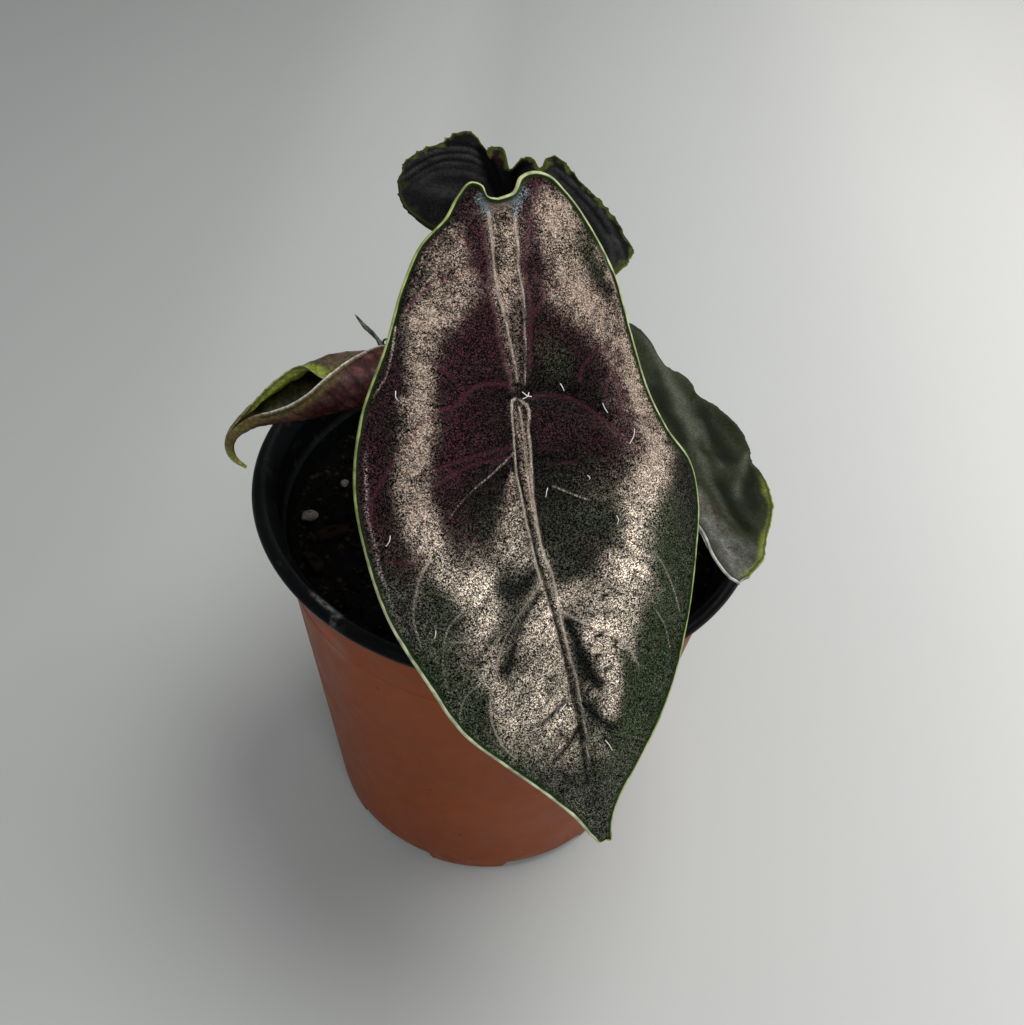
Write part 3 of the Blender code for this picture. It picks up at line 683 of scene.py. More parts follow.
def leaf_faces(sheet, across, along, detail, teeth=0):
    """Both faces of a blade over one square grid each, joined at the margin.

    Point = sheet.place(a, b, relief + detail + side (half thickness) sqrt(1 - (1 - e)^2)), where
    e is the distance from the margin over the half thickness, at most 1. The grid is denser
    towards the margin: u = sign(s) (1 - (1 - |s|)^1.15). Teeth draws the margin in by up to that
    many mm between peaks, which stand where a noise of the turn crosses zero.
    """
    spread = [np.linspace(-1, 1, count + 1) for count in (across, along)]
    u, v = np.meshgrid(*(np.sign(s) * (1 - (1 - np.abs(s))**1.15) for s in spread), indexing="ij")
    a, b, rho, turn = sheet.flat(u, v)
    if teeth:
        spot = stacked(turn * 150, np.sign(u) * 3, 0)
        peaks = sum(tall * (1 - np.abs(lumps(spot, size, seed)))**5
                    for size, tall, seed in ((2.8, 0.9, 3), (1.3, 0.5, 4)))
        bite = (1 - np.clip(peaks, 0, 1)) * teeth
        from_centre = stacked(a, b) - sheet.centre
        shrink = 1 - bite * rho**14 / np.maximum(np.hypot(*np.moveaxis(from_centre, -1, 0)), 1)
        a, b = np.moveaxis(sheet.centre + from_centre * shrink[..., None], -1, 0)
    edge = np.full(a.shape, FAR_FROM_EDGE)
    near = rho > 0.4
    back = slice(-2, None, -1)
    sides = ((slice(None), 0), (-1, slice(1, None)), (back, -1), (0, back))
    rim = np.concatenate([stacked(a[side], b[side]) for side in sides])
    edge[near], _ = distance_to(rim, a[near], b[near])
    edge[rho == 1] = 0
    upper = np.arange(a.size).reshape(a.shape)
    lower = upper.copy()
    lower[1:-1, 1:-1] = a.size + np.arange((across - 1) * (along - 1)).reshape(across - 1, along - 1)
    half = BLADE_THICKNESS / 2
    roundness = np.sqrt(1 - (1 - np.clip(edge / half, 0, 1))**2) * half
    base = sheet.relief(a, b, rho, turn)
    inner = (slice(1, -1), slice(1, -1))
    top = sheet.place(a, b, base + detail(a, b, edge, 1) + roundness)
    under = sheet.place(a, b, base + detail(a, b, edge, -1) - roundness)[inner]
    flat = {key: np.concatenate([value.ravel(), value[inner].ravel()])
            for key, value in (("a", a), ("b", b), ("edge", edge))}
    flat["under"] = np.repeat((0, 1), (a.size, under.shape[0] * under.shape[1]))
    points = np.concatenate([top.reshape(-1, 3), under.reshape(-1, 3)])
    return points, [quads(upper), quads(lower)[:, ::-1]], flat


# Front leaf: marks as (points, width, strength), where width and strength are one number or
# (start, end), and lines as (points, start width, end width)

MIDRIB = [(2.6, -34.5), (1.8, -26), (1, -18), (0.4, -10), (-0.4, -2), (-0.8, 8), (-1.1, 16), (-1.3, 24),
          (-1.2, 31), (-0.6, 38), (0, 44), (0.4, 52), (0.7, 60), (1, 70), (1.2, 80), (1.2, 87)]
COSTA = [
    ([(0.2, -33), (-0.2, -28), (-0.6, -23.7), (-0.9, -19.8), (-0.5, -12), (-0.1, -3)], 0.3, 0.12),
    ([(4.8, -31.5), (4.4, -27.5), (3.8, -23.7), (3.4, -19), (2.8, -14.5), (2, -8), (1.1, -2)], 0.28, 0.06)]
CHANNEL = [
    ([(-0.8, -0.1), (-1.7, 0.2), (-2.2, 1.6), (-2.7, 5.2), (-3.2, 9.7), (-3.4, 13.5), (-3.3, 19),
      (-3.1, 26), (-2.8, 33), (-2.5, 34.6)], 0.26, 0.16),
    ([(0, 0.4), (0.8, 1.3), (0.3, 6.3), (0, 11.9), (-0.8, 16.3), (-1.1, 22), (-1, 28.7), (0, 33),
      (0.2, 40.3), (0.2, 45.3), (0.6, 49.8), (1, 55.3), (1.1, 59.8), (0.9, 64.2), (0.3, 72)], 0.3, 0.06),
    ([(-0.6, 1.5), (-0.9, 9), (-1.4, 16), (-1.6, 24)], 0.14, 0.04)]
PALE_VEINS = [
    ([(-3.5, 9.4), (-5.7, 10.8), (-9.3, 12.7), (-12.7, 14.4), (-15.4, 16), (-17.7, 18)], 0.1, 0.02),
    ([(-2.7, 34.3), (-4.9, 35.9), (-7.1, 37.6), (-9.3, 39.6), (-11.6, 42), (-13.4, 45), (-14.8, 48.5),
      (-16.2, 51.5), (-16.7, 54.8), (-16.5, 58.7), (-15.4, 62.6), (-13.2, 66.2)], 0.3, 0.04),
    ([(0.7, 40.6), (2.9, 42.6), (5.1, 44.2), (7.9, 46.2), (10.1, 48.4), (12.3, 51.2),
      (13.9, 54.8)], 0.26, 0.05),
    ([(-18.2, 34.5), (-21.6, 37.8), (-22.9, 41.4), (-23.6, 45.3), (-23.3, 50)], 0.16, 0.02),
    ([(-22.6, 24.6), (-24.9, 28), (-26.2, 31.4), (-26.9, 35.3), (-26.6, 40.3)], 0.22, 0.05),
    ([(-22.4, 42), (-20.6, 40.6), (-18.6, 41)], 0.08, 0.02),
    ([(-18, 49.6), (-20.6, 51.6), (-22, 54.6), (-22.2, 58)], 0.1, 0.02),
    ([(20.6, 33.6), (23, 38), (24.8, 43), (25.8, 48)], 0.08, 0.01),
    ([(19.6, 45.4), (21.6, 49.4), (22.2, 54)], 0.06, 0.01),
    ([(-19.9, -16.4), (-21.5, -12), (-23.5, -8), (-26, -5.2)], 0.16, 0.04),
    ([(21, -24.5), (22.2, -20), (23, -15.4)], 0.16, 0.04), ([(2.9, 16.9), (6.2, 19.1), (9.4, 21)], 0.03, 0)]
WINE_RIBS = [
    ([(-0.8, -1.6), (-2.6, -3), (-4.9, -3.5), (-8.2, -3.8), (-11, -2.6), (-13.2, -1), (-16.5, -0.8),
      (-20, 1.4), (-23.2, 4.7), (-26, 7.4), (-28, 9.9), (-29.9, 12.6), (-30.8, 16.5)], 0.3, 0.12),
    ([(1.6, 0.2), (4.5, 0.4), (7.3, 1), (11.2, 3.4), (15, 7.2), (17.9, 10.2), (20.5, 13)], 0.25, 0.05),
    ([(-4.9, -23.7), (-8.2, -22.9), (-11.6, -22.4), (-15.2, -20.8), (-17.4, -19)], 0.16, 0.12),
    ([(-5.4, -30.4), (-4.7, -26.6), (-4.9, -23.7), (-2.6, -20)], 0.14, 0.1),
    ([(-1.2, -31), (-1.6, -24), (-2.3, -17), (-2.2, -8), (-1.2, -3)], 0.22, 0.14),
    ([(2.3, -11), (4, -13.7), (6.2, -15.9), (8.4, -17.2), (10.7, -18.4), (13.4, -19)], 0.4, 0.12),
    ([(2, -3.4), (2.9, -8), (3.6, -12), (4.4, -18), (4.8, -23.7)], 0.18, 0.18),
    ([(10.6, -36.6), (9.3, -33.4), (7.9, -30.3), (5.9, -26.5), (4.8, -23.7)], 0.4, 0.25),
    ([(11.2, -0.9), (12, -3), (13.6, -4.6), (16.2, -5.7), (18.6, -5.2)], 0.16, 0.04),
    ([(19.9, -3.8), (18.2, -1.6), (16.6, 0.6), (15.6, 2.6)], 0.16, 0.04),
    ([(19.6, 6.2), (19.2, 1.6), (20.2, -2.4)], 0.1, 0.04),
    ([(-15.8, -9.6), (-13.2, -6.8), (-12.2, -5.4)], 0.16, 0.04),
    ([(-3.6, 8.4), (-8, 8.2), (-14, 8.6), (-19, 9.2)], 0.05, 0.02),
    ([(-4.6, 10), (-12, 9.8), (-19.6, 12)], 0.03, 0.02), ([(2.3, 9.7), (6.2, 10.8)], 0.05, 0),
    ([(2.9, 12.8), (8.4, 13.6)], 0.05, 0), ([(-29.8, 23.6), (-26, 24.6), (-23.4, 24.2)], 0.1, 0.04)]
# Sheen marks: the pale copper sheen, partly the leaf's own colour and partly painted reflection of the light
SHEEN = [
    ([(-6.8, -30.2), (-6.3, -27), (-6.6, -24.4)], 2.2, 0.5),
    ([(-8.6, -27.6), (-11.2, -25.6), (-13.8, -22.8)], 3, (0.75, 0.5)),
    ([(-10.5, -27), (-11, -24)], 3.2, 0.4),
    ([(-5.4, -21.2), (-8.6, -20.6), (-12, -19), (-14.6, -16.6)], 2.6, (0.5, 0.95)),
    ([(-6, -18.4), (-10, -17.6)], (1.2, 3), (0.4, 0.7)),
    ([(-14.6, -16.6), (-16.4, -12), (-17.5, -8), (-18.3, -4), (-19.4, -0.4)], (3.4, 1.5), 0.92),
    ([(-21.4, -3.4), (-20.6, -0.6), (-20.6, 2.4)], 1.2, 0.45),
    ([(-19.4, -0.2), (-20.4, 3.2), (-21.8, 7.4), (-23, 12), (-22.6, 18), (-21.8, 24)], 2.9, 0.92),
    ([(-23, 11.6), (-24, 17.4)], 2.8, 0.45),
    ([(-21.8, 24.4), (-19.6, 28.4), (-17, 31.8), (-15.4, 36.4), (-15, 40.4)], (2.4, 4), (0.85, 0.7)),
    ([(-15, 26), (-13, 31.5)], 3, (0.3, 0.92)),
    ([(-14.4, 39), (-15.2, 44), (-16.2, 49)], (4, 2), (0.05, 0.7)), ([(-24.6, 26), (-25.6, 32)], 1, 0.2),
    ([(-21, 38), (-19.5, 46)], 2, (0, 0.25)),
    ([(-4.2, 13), (-5, 17.6), (-6, 22.6), (-6.4, 26.2)], (0.5, 4.2), (0.5, 0.62)),
    ([(-2.2, 37.2), (-3.2, 41), (-4.8, 46), (-5.6, 52), (-5.2, 57)], (4, 5.3), 0.62),
    ([(-1.6, 40), (-1, 47), (-0.6, 54)], 1.8, (0.6, 0.4)), ([(-9.6, 45), (-6.8, 41)], 1.6, 0.55),
    ([(-14.8, 50.8), (-15.4, 55.4), (-14.2, 60.4), (-11.2, 64.8)], (1.4, 2.9), (0.74, 0.25)),
    ([(-13.5, 51), (-13, 58)], (1.2, 2.1), (0.48, 0.75)),
    ([(-9.6, 51), (-10, 56), (-8.4, 61), (-5.6, 66)], (2.8, 4.4), (0.55, 0.45)),
    ([(-2.2, 59), (-2, 65), (-2.6, 71)], 3.1, (0.52, 0.1)),
    ([(5, 46.6), (6.8, 50), (7.4, 55), (7.2, 59), (6.2, 61.8)], (2.8, 2.1), (0.7, 0.8)),
    ([(3, 56.2), (3.8, 57.4)], 1.2, 0.56), ([(6.8, 51), (6.2, 56)], 2.4, 0.3),
    ([(2.8, 66.4), (3.8, 69.8)], 2.2, 0.3), ([(2, 37.6), (5.2, 37), (8.4, 38)], (2, 2.7), 0.54),
    ([(4.4, 41.2), (7.8, 41.2)], (3, 2.3), (0.3, 0.1)), ([(8.5, 40.5), (12.5, 41.5)], (1.9, 2.7), 0.7),
    ([(11, 33.8), (14, 36.2), (15, 40.2), (14.2, 43.6), (11.2, 46.8)], (2.5, 3.5), 0.52),
    ([(7.4, 44.2), (10.8, 47.6), (12.8, 51.6), (13.6, 55.2)], (2, 0.9), (0.95, 0.12)),
    ([(15.4, 35.6), (17, 32), (18.6, 28.6), (19.6, 25), (21.6, 21.2), (23.8, 18.4)], (4.2, 2.7), 0.95),
    ([(16, 17.8), (18, 23.2)], 2.2, (0.16, 0.9)),
    ([(23.8, 18.4), (25.8, 15.4), (26, 11.4), (24.6, 7), (23.4, 2.4), (22.4, -2.6)], (4.9, 2.5), 0.95),
    ([(27.8, 12), (28.8, 17.6)], 1.8, (0.6, 0.05)),
    ([(23.2, -4.4), (21, -8.4), (18, -11.6), (14.8, -14.6), (12.2, -17.2)], 4.4, 0.96),
    ([(19.6, -11.6), (18.8, -8)], 3.6, 0.45),
    ([(12.4, -31.8), (12.4, -27.4), (12.6, -22.4), (13.4, -18.4)], 4, 0.96),
    ([(16.4, -30.6), (17, -27)], 2.2, 0.48), ([(20.4, -24.6), (21.9, -20), (22.6, -15)], (2.2, 1.1), 0.68),
    ([(24, -12), (25.5, -6), (26.5, 1)], 1.4, 0.4), ([(24.6, -5), (26, 3), (27.4, 8.6)], 1.8, 0.45),
    ([(2.6, -33.4), (2, -26.2), (1.2, -19.2)], (4, 2.4), (0.6, 0.82)),
    ([(0.6, -19.2), (0, -11.2), (-0.4, -3.2)], (2.8, 1.9), (0.62, 0.25)),
    ([(-1.2, 1.8), (-1.5, 9.4), (-2.1, 18.4), (-1.9, 27.4), (-1.2, 34.4)], 1.6, (0.62, 0.45)),
    ([(-27.6, 30), (-24.6, 40), (-20.6, 50)], 3.4, 0.05), ([(19.8, -2), (18.8, 8), (21.8, 15)], 3.8, 0.22),
    ([(12.4, 18.8), (24.4, 29.8), (26.4, 39.8)], 5, (0.16, 0.02)), ([(18.4, 36), (20, 42)], 2, 0.22)]

# Hollows, creases and the sunk midrib channel: sunk in the relief, and painted near black as shade in them
HOLLOWS = [
    ([(-3.2, 36.2), (-5.6, 38.4), (-8.2, 41), (-10.8, 44.8), (-12.6, 48)], (0.6, 0.7), 0.85),
    ([(1.2, 42.6), (2.4, 47), (3, 52), (4.8, 56)], (0.8, 1.5), 0.92)]
CREASES = [
    ([(1.4, 59.2), (3.6, 62.2), (6.3, 65.2)], (0.55, 0.8), 0.95),
    ([(-7.6, 60.4), (-4.8, 59), (-2, 57.8)], (0.4, 0.7), 0.9),
    ([(-6.2, 68.2), (-3, 66), (-0.3, 63.8)], (0.4, 0.7), 0.9), ([(-4.6, 63), (-2.9, 65)], 0.4, 0.7),
    ([(-0.2, 66), (-0.4, 75)], 0.5, 0.7), ([(4.3, 66.8), (5.4, 69.8)], 0.5, 0.8),
    ([(-5.4, 71), (-2.6, 75.2)], 0.5, 0.6)]
SUNK = [
    ([(-2.4, 2.2), (-2.6, 8), (-2.8, 14), (-2.5, 22), (-2.2, 30), (-1.3, 36), (-0.8, 43), (-0.3, 50),
      (0.1, 60), (0.2, 66)], (0.45, 0.6), 0.9), ([(0.9, 3), (0.7, 12), (-0.2, 20), (-0.3, 28)], 0.35, 0.6)]
# Near-black marks: painted shade in the hollows, creases and channel, with other dark patches
DARKS = [
    *HOLLOWS, *CREASES, *SUNK,
    ([(-10.2, 33.1), (-7, 33.9), (-4, 31.9)], (2.1, 1.1), 0.8),
    ([(-5, 45.4), (-7.4, 47.2), (-9.9, 49)], 0.7, 0.45),
    ([(18.4, -27), (19.6, -22), (20.6, -16)], 1.6, 0.5), ([(7.4, -23), (8.4, -20)], 2.6, 0.35),
    ([(-0.9, 0.6), (-1.2, 5)], 0.45, 0.8)]
DIMS = [
    ([(-11, 40), (-14, 41.6)], 1.8, 0.55), ([(10.4, -16.8), (12.4, -14)], 1.8, 0.35),
    ([(-20, 26), (-23, 25)], 2.2, 0.35), ([(21.2, -4.2), (22, -1)], 2, 0.3),
    ([(-0.4, 23.8), (-3.2, 26)], 1.6, 0.3), ([(20.6, 28.8), (19.6, 32)], 1.6, 0.35),
    ([(15.4, 33), (13.4, 31)], 1.3, 0.3), ([(8, -32.6), (6.8, -28.6)], 1.8, 0.25),
    ([(-2.4, -31.2), (-3.2, -26.6)], 1.6, 0.3)]

WINE = [
    ([(-3, -34), (-3, -28), (-3.4, -21)], 2.3, 0.8), ([(-9, -32), (-14, -27)], 1.4, 0.35),
    ([(10.6, -37), (8, -34), (6.4, -29), (7.4, -22), (6.4, -18)], (2.8, 2.6), 0.7),
    ([(-6.4, -16), (-10.4, -10), (-12.6, -5.6)], 4.2, 0.66), ([(-4, -12), (-4.6, -5)], 3, 0.4),
    ([(-14, 1), (-15, 7), (-16.6, 14), (-16.4, 21), (-14.4, 26)], (3.6, 3), (0.62, 0.5)),
    ([(-8, 2), (-9, 8)], 4, 0.36), ([(4, -9), (10, -13), (14, -8), (17.6, -3.6)], 3.6, 0.48),
    ([(18.6, -6), (19.4, 1), (19, 8), (21.6, 13)], 2.6, 0.6), ([(3, 6), (10, 7.6), (16, 12)], 3.6, 0.46),
    ([(-26, -2), (-28.8, 5), (-29.6, 12), (-29, 20), (-26.6, 25.4)], (2, 2.8), 0.55),
    ([(-21.4, -10), (-23.6, -4)], 2, 0.45), ([(8, 30), (10, 33.6)], 2.4, 0.3)]
GREENS = [
    ([(24, 30), (24, 40), (20, 52), (15, 62), (8, 72)], (6, 6), 0.85),
    ([(16, 46), (12, 56), (10, 66)], 4, 0.6), ([(-24.6, 44), (-20, 56), (-12, 68)], 4, 0.7),
    ([(-24, 34), (-23.6, 40)], 3, 0.4), ([(6, -8), (7.4, -5)], 3, 0.35), ([(10, 24), (22, 22)], 4, 0.25),
    ([(20, -20), (19, -26)], 2.6, 0.55)]
PITS = [([(x - 0.5, y + 0.4), (x - 0.3, y - 0.4), (x + 0.5, y - 0.3)], 0.34, 0.9) for x, y in (
    (8.7, 43), (6, 46.8), (7.3, 46.2), (6.9, 53.4), (-11.7, 42.3), (-16.7, 45.9), (-5.2, 52), (-4, 52),
    (-5.2, 54), (-7.6, 24.6), (9.8, 48.6), (3, 57), (5.6, 50.4), (9.4, 39.8), (-13.2, 47.6))]
STRIP = [([(2.6, -34), (1.6, -22), (0.8, -10), (0.3, -2)], (2.6, 1.3), 1)]
HATCHED = [([(-14.6, -23.4), (-11, -27), (-8.4, -30)], 2.4, 1)]
# Notch: grain and wine specks are smoothed out there, under the painted reflections of the sky
NOTCH = [([(0, -34.6), (5.8, -34.8)], 1.8, 1)]
# Blue-grey patches at the notch: painted reflections of the sky
NOTCH_LIGHTS = [
    ([(-0.8, -35.4), (0, -33.2)], 0.8, 0.9), ([(6.6, -35.6), (5.6, -33.4), (5, -31)], (1.5, 0.3), 0.9)]


def front_detail(a, b, edge, side):
    """Fine relief: a strip with two ridges up to the stalk, a sunk channel below it, grooves beside
    the veins, creases and wrinkles on the upper face; a thick midrib and raised veins below."""
    middle, place = distance_to(smooth_through(MIDRIB, 60), a, b)
    taper = 1 - 0.75 * ease(0.45, 1, place)
    veins = grooves(PALE_VEINS, a, b, 0.6)
    ribs = grooves(WINE_RIBS, a, b, 0.8)
    if side < 0:
        rib = 1.5 * bell(middle, 1.7 * taper) * taper
        return -(rib + 0.3 * veins + 0.26 * ribs) * ease(0, 3, edge)
    strip = 0.3 * brush(STRIP, a, b)
    ridges = 0.24 * grooves(COSTA + CHANNEL, a, b, 0.28)
    sunk = 0.45 * brush(SUNK, a, b) + 0.45 * brush(HOLLOWS, a, b)
    flat = stacked(a, b, 0)
    radial = stacked(8 * np.arctan2(a, np.abs(b) + 4), 0.25 * np.hypot(a, b), 0)
    wrinkles = 0.1 * lumps(radial, 0.5, 3) + 0.2 * lumps(flat, 4.5, 7) + 0.3 * lumps(flat, 9, 9)
    creases = strip + ridges - sunk - 0.55 * brush(CREASES, a, b) + 0.12 * veins - 0.18 * ribs
    return (creases + wrinkles) * ease(0.2, 2.4, edge) + 0.14 * bell(edge - 0.45, 0.35)


def paint(lowest, *layers):
    """Colours laid over each other: a lowest colour, then (colour or grey level, cover) pairs."""
    total = np.atleast_2d(np.asarray(lowest, float))
    for colour, cover in layers:
        total = total + np.asarray(cover)[:, None] * (np.asarray(colour) - total)
    return total


def leaf_attributes(settings, flat, upper, contrast, rim, rim_width, wine=0, vein=9, rib=9):
    """Attributes that the leaf material reads: mean colour, strength of the grain, the margin's
    colour and the distance from it in its own widths, cover of wine specks, and distance in mm to
    the pale veins and to the wine ribs."""
    none = np.zeros_like(flat["a"])
    ground = np.where(flat["under"][:, None] > 0, underside_colour(settings, flat), upper)
    return {"ground": ground, "contrast": contrast + none, "wine": wine + none,
            "vein": np.clip(vein + none, -1, 9), "rib": np.clip(rib + none, -1, 9),
            "edge": flat["edge"] / rim_width, "under": flat["under"], "rim": rim}


def make_leaf_material(name, settings, inside, roughness, specular, grain=3500):
    """Leaf: the painted mean colour, made grainy by (0.9 + contrast noise)^2.2; then wine specks and
    ribs, pale veins and the margin. The lower face shows a fine net of veins."""
    tree = new_material(name)
    under = tree.attribute("under")
    top = tree.math("SUBTRACT", 1, under)
    given = tree.group("grains", {"Per Metre": grain}, None)
    swing = tree.times(given["Grain"], tree.attribute("contrast"))
    colour = tree.shade(tree.attribute("ground", "Color"), tree.even_grain(swing, 0.9, 0.08))
    speck = tree.ramp(given["Speck"], 0.8, 1.45)
    rib = tree.plus(tree.attribute("rib"), tree.times(given["Grain"], 0.16))
    rib = tree.times(tree.ramp(rib, -0.1, 0.46, 0.66, 0), tree.plus(tree.times(speck, 0.7), 0.3))
    wine = tree.times(tree.times(tree.attribute("wine"), 0.86), speck)
    colour = tree.mix(tree.times(tree.math("MAXIMUM", wine, rib), top), colour, settings.wine)
    vein = tree.plus(tree.attribute("vein"), tree.times(given["Grain"], 0.1))
    vein_tone = tree.mix(tree.ramp(given["Speck"], -1.2, 1.2), scaled(settings.vein, 0.45), settings.vein)
    colour = tree.mix(tree.times(tree.ramp(vein, -0.05, 0.22, 0.88, 0), top), colour, vein_tone)
    net = tree.times(tree.net(560, 0.09, 0.35), under)
    colour = tree.mix(net, colour, [min(1, c) for c in scaled(settings.underside, 2.2)])
    band = tree.group("margin", {"Edge": tree.attribute("edge")}, None)
    colour = tree.mix(tree.times(band["Inside"], 0.8), colour, inside)
    streak = tree.ramp(tree.noise(420), 0.3, 0.7, 0.55, 1.25)
    colour = tree.mix(band["Line"], colour, tree.shade(tree.attribute("rim", "Color"), streak))
    roughness = tree.plus(tree.plus(tree.times(given["Grain"], 0.03), roughness), tree.times(under, 0.14))
    normal = tree.bump(tree.plus(given["Grain"], tree.times(given["Speck"], 0.6)), 0.035, 0.8)
    return tree.finish(colour, roughness, normal, specular)


def underside_colour(settings, flat):
    """Lower face: mauve brown, greener towards the margin."""
    drift = 0.5 + 0.5 * rough(stacked(flat["a"], flat["b"], 0), 14, 3, 21)
    green = ease(9, 1, flat["edge"]) * 0.6
    return paint(settings.underside, ((0.045, 0.05, 0.02), green),
                 (scaled(settings.underside, 0.5), 0.5 * drift))


def fine_veins(a, b, edge):
    """Distance to thin arcs between the side veins: lines b' = k 3.4 mm, where b' is b at the
    midrib, waved by a noise. They show in patches of the lower half, and left of the midrib only
    near the margin."""
    place = stacked(a, b, 0)
    along = b - 0.62 * np.abs(a) - 0.01 * a**2 + 1.6 * lumps(place, 8, 35)
    shown = ease(26, 40, b) * ease(1.5, 4, np.abs(a))
    shown *= ease(-0.3, 0.3, lumps(place, 6, 36)) * np.where(a < 0, ease(13, 9, edge), 1)
    return np.abs(np.sin(np.pi * along / 3.4)) * 3.4 / np.pi + 0.05 + 1.2 * (1 - shown)


def make_front_leaf(settings):
    """Front blade. Its look is painted in layers: dark ground, green and pale haze, painted shade in
    the creases, hollows and channel, wine, then the copper sheen with streaks along the blade (partly
    the leaf's own colour and partly painted reflection of the light), painted reflections of the sky
    at the notch, and the margin."""
    points, faces, flat = leaf_faces(FRONT, *FRONT_GRID, front_detail)
    a, b, edge = flat["a"], flat["b"], flat["edge"]
    place = stacked(a, b, 0)
    radial = stacked(10 * np.arctan2(a, np.abs(b) + 4), 0.2 * np.hypot(a, b), 0)
    arcs = stacked(b - 0.62 * np.abs(a) - 0.01 * a**2, 0.16 * a, 0)
    ragged, fine = rough(place, 5, 3, 31), rough(place, 1.3, 2, 33)
    below = ease(12, 26, b)
    lower = ease(8, 34, b)
    streaks = lumps(radial, 0.42, 41) * (1 - below) + lumps(arcs, 0.8, 43) * below
    # Painted shade: near black in the creases, hollows and channel, with dark patches and pits
    dark = brush(DARKS, a, b) * (1 - 0.25 * np.clip(fine, 0, 1))
    dark = 1 - (1 - dark) * (1 - brush(PITS, a, b))
    hatched = brush(HATCHED, a, b) * (0.5 + 0.5 * np.sin(4.2 * (a + 0.75 * b) + 2 * ragged))
    # Sheen cover: partly the leaf's own copper, partly painted reflection of the light
    grainy = 0.8 + 0.2 * lower + 0.12 * ragged + 0.16 * fine + (0.42 - 0.12 * below) * streaks
    sheen = np.clip(brush(SHEEN, a, b) * grainy, 0, 1) * (1 - dark) * (1 - brush(DIMS, a, b))
    sheen = sheen * (1 - 0.55 * hatched) * ease(0.5, 1.6, edge)
    wine = np.clip(brush(WINE, a, b) * (1 + 0.35 * ragged), 0, 1) * (1 - 0.6 * dark) * (1 - 0.8 * sheen)
    haze = np.clip(0.35 + 0.3 * ragged + 0.25 * streaks, 0, 1) * ease(16, 30, b) * (1 - dark)
    haze = 0.62 * haze * (a < 0) + 0.26 * haze * (a >= 0) + 0.2 * ease(66, 76, b)
    upper = paint(settings.ground, ((0.014, 0.017, 0.011), 0.7 * lower),
                  ((0.019, 0.029, 0.012), brush(GREENS, a, b) * 0.9), ((0.075, 0.074, 0.058), haze),
                  (0.0025, 0.9 * dark), ((0.014, 0.0025, 0.0045), 0.35 * wine))
    bronze_and_sheen = np.array(settings.bronze_and_sheen) * (1 + lower[:, None] * (0.26, 0.38, 0.4))
    left = a < -8
    pale_rim = bell(edge - 1.9 - 0.3 * ragged, 0.3) * left
    pale_rim = pale_rim * ease(2, 8, b) * ease(40, 24, b)
    behind = ease(3.2, 2.4, edge) * (edge > 2.3) * left * (b < 40)
    # Over the ground: the copper sheen (partly the leaf's own colour, partly painted reflection of the
    # light), the pale vein inside the left margin, a dark band behind it, and painted reflections of the sky
    # at the notch
    upper = paint(upper, (bronze_and_sheen, sheen**1.6), ((0.15, 0.12, 0.11), 0.6 * pale_rim),
                  (0.004, 0.5 * behind), ((0.115, 0.14, 0.15), brush(NOTCH_LIGHTS, a, b)))
    plain = 1 - brush(NOTCH, a, b)
    contrast = (1 - 0.22 * lower - (0.72 - 0.58 * lower) * sheen) * (0.2 + 0.8 * plain)
    contrast = np.where(flat["under"] > 0, 0.1, contrast)
    cream = ease(10, 44, b) * (a < 0) + 0.45 * (a >= 0) * (b < 36)
    rim_width = 0.32 + 0.18 * ease(-1, 6, a) + 0.18 * ease(20, 46, b) * (a < 0)
    pale = np.minimum(line_distance(PALE_VEINS, a, b) + 0.03 + 0.03 * left,
                      line_distance(COSTA + CHANNEL, a, b))
    attributes = leaf_attributes(
        settings, flat, upper, contrast, paint(settings.margin, ((0.62, 0.64, 0.42), cream)), rim_width,
        wine * plain, np.minimum(pale, fine_veins(a, b, edge)),
        line_distance(WINE_RIBS, a, b) + 3 * (1 - plain))
    material = make_leaf_material("front_leaf", settings, (0.009, 0.026, 0.0045), 0.5, 0.04, 5400)
    return write_piece("front_leaf", points, faces, [material], attributes)


# Back and right leaves

# Pleats: raised folds in the relief, painted paler as highlights along them
BACK_PLEATS = [
    ([(-5.5, -41.5), (-9, -44), (-14, -45.2), (-19, -44.6), (-24, -43.2)], 0.75, 0.55),
    ([(-5.6, -38.6), (-10, -41.8), (-15, -42.8), (-20, -42), (-26, -40.2)], 0.65, 0.75),
    ([(-6, -36), (-11, -39.4), (-16, -40.5), (-22, -39.2), (-27, -36.5)], 0.6, 0.45),
    ([(-7, -33.5), (-13, -37), (-18, -38), (-24, -36)], 1.1, 0.4),
    ([(-22, -36), (-19, -33), (-14.6, -31)], 2.2, 0.35),
    ([(13, -37), (19, -31.5), (24, -25), (27, -18), (27.5, -11)], 1, 0.5),
    ([(11, -35), (16, -30), (21, -23), (24, -15), (24, -8)], 1.2, 0.4),
    ([(26, -17), (25.6, -12), (24, -8)], 2, 0.35), ([(-6, -22), (-12, -19), (-17, -12)], 1.4, 0.4),
    ([(6, -22), (13, -17), (19, -8)], 1.4, 0.4), ([(-4, -6), (-10, 0), (-15, 9)], 1.4, 0.4),
    ([(4, -6), (11, 1), (16, 11)], 1.4, 0.4), ([(-3, 12), (-7, 19), (-9, 27)], 1.3, 0.4),
    ([(3, 12), (7, 19), (9, 27)], 1.3, 0.4)]
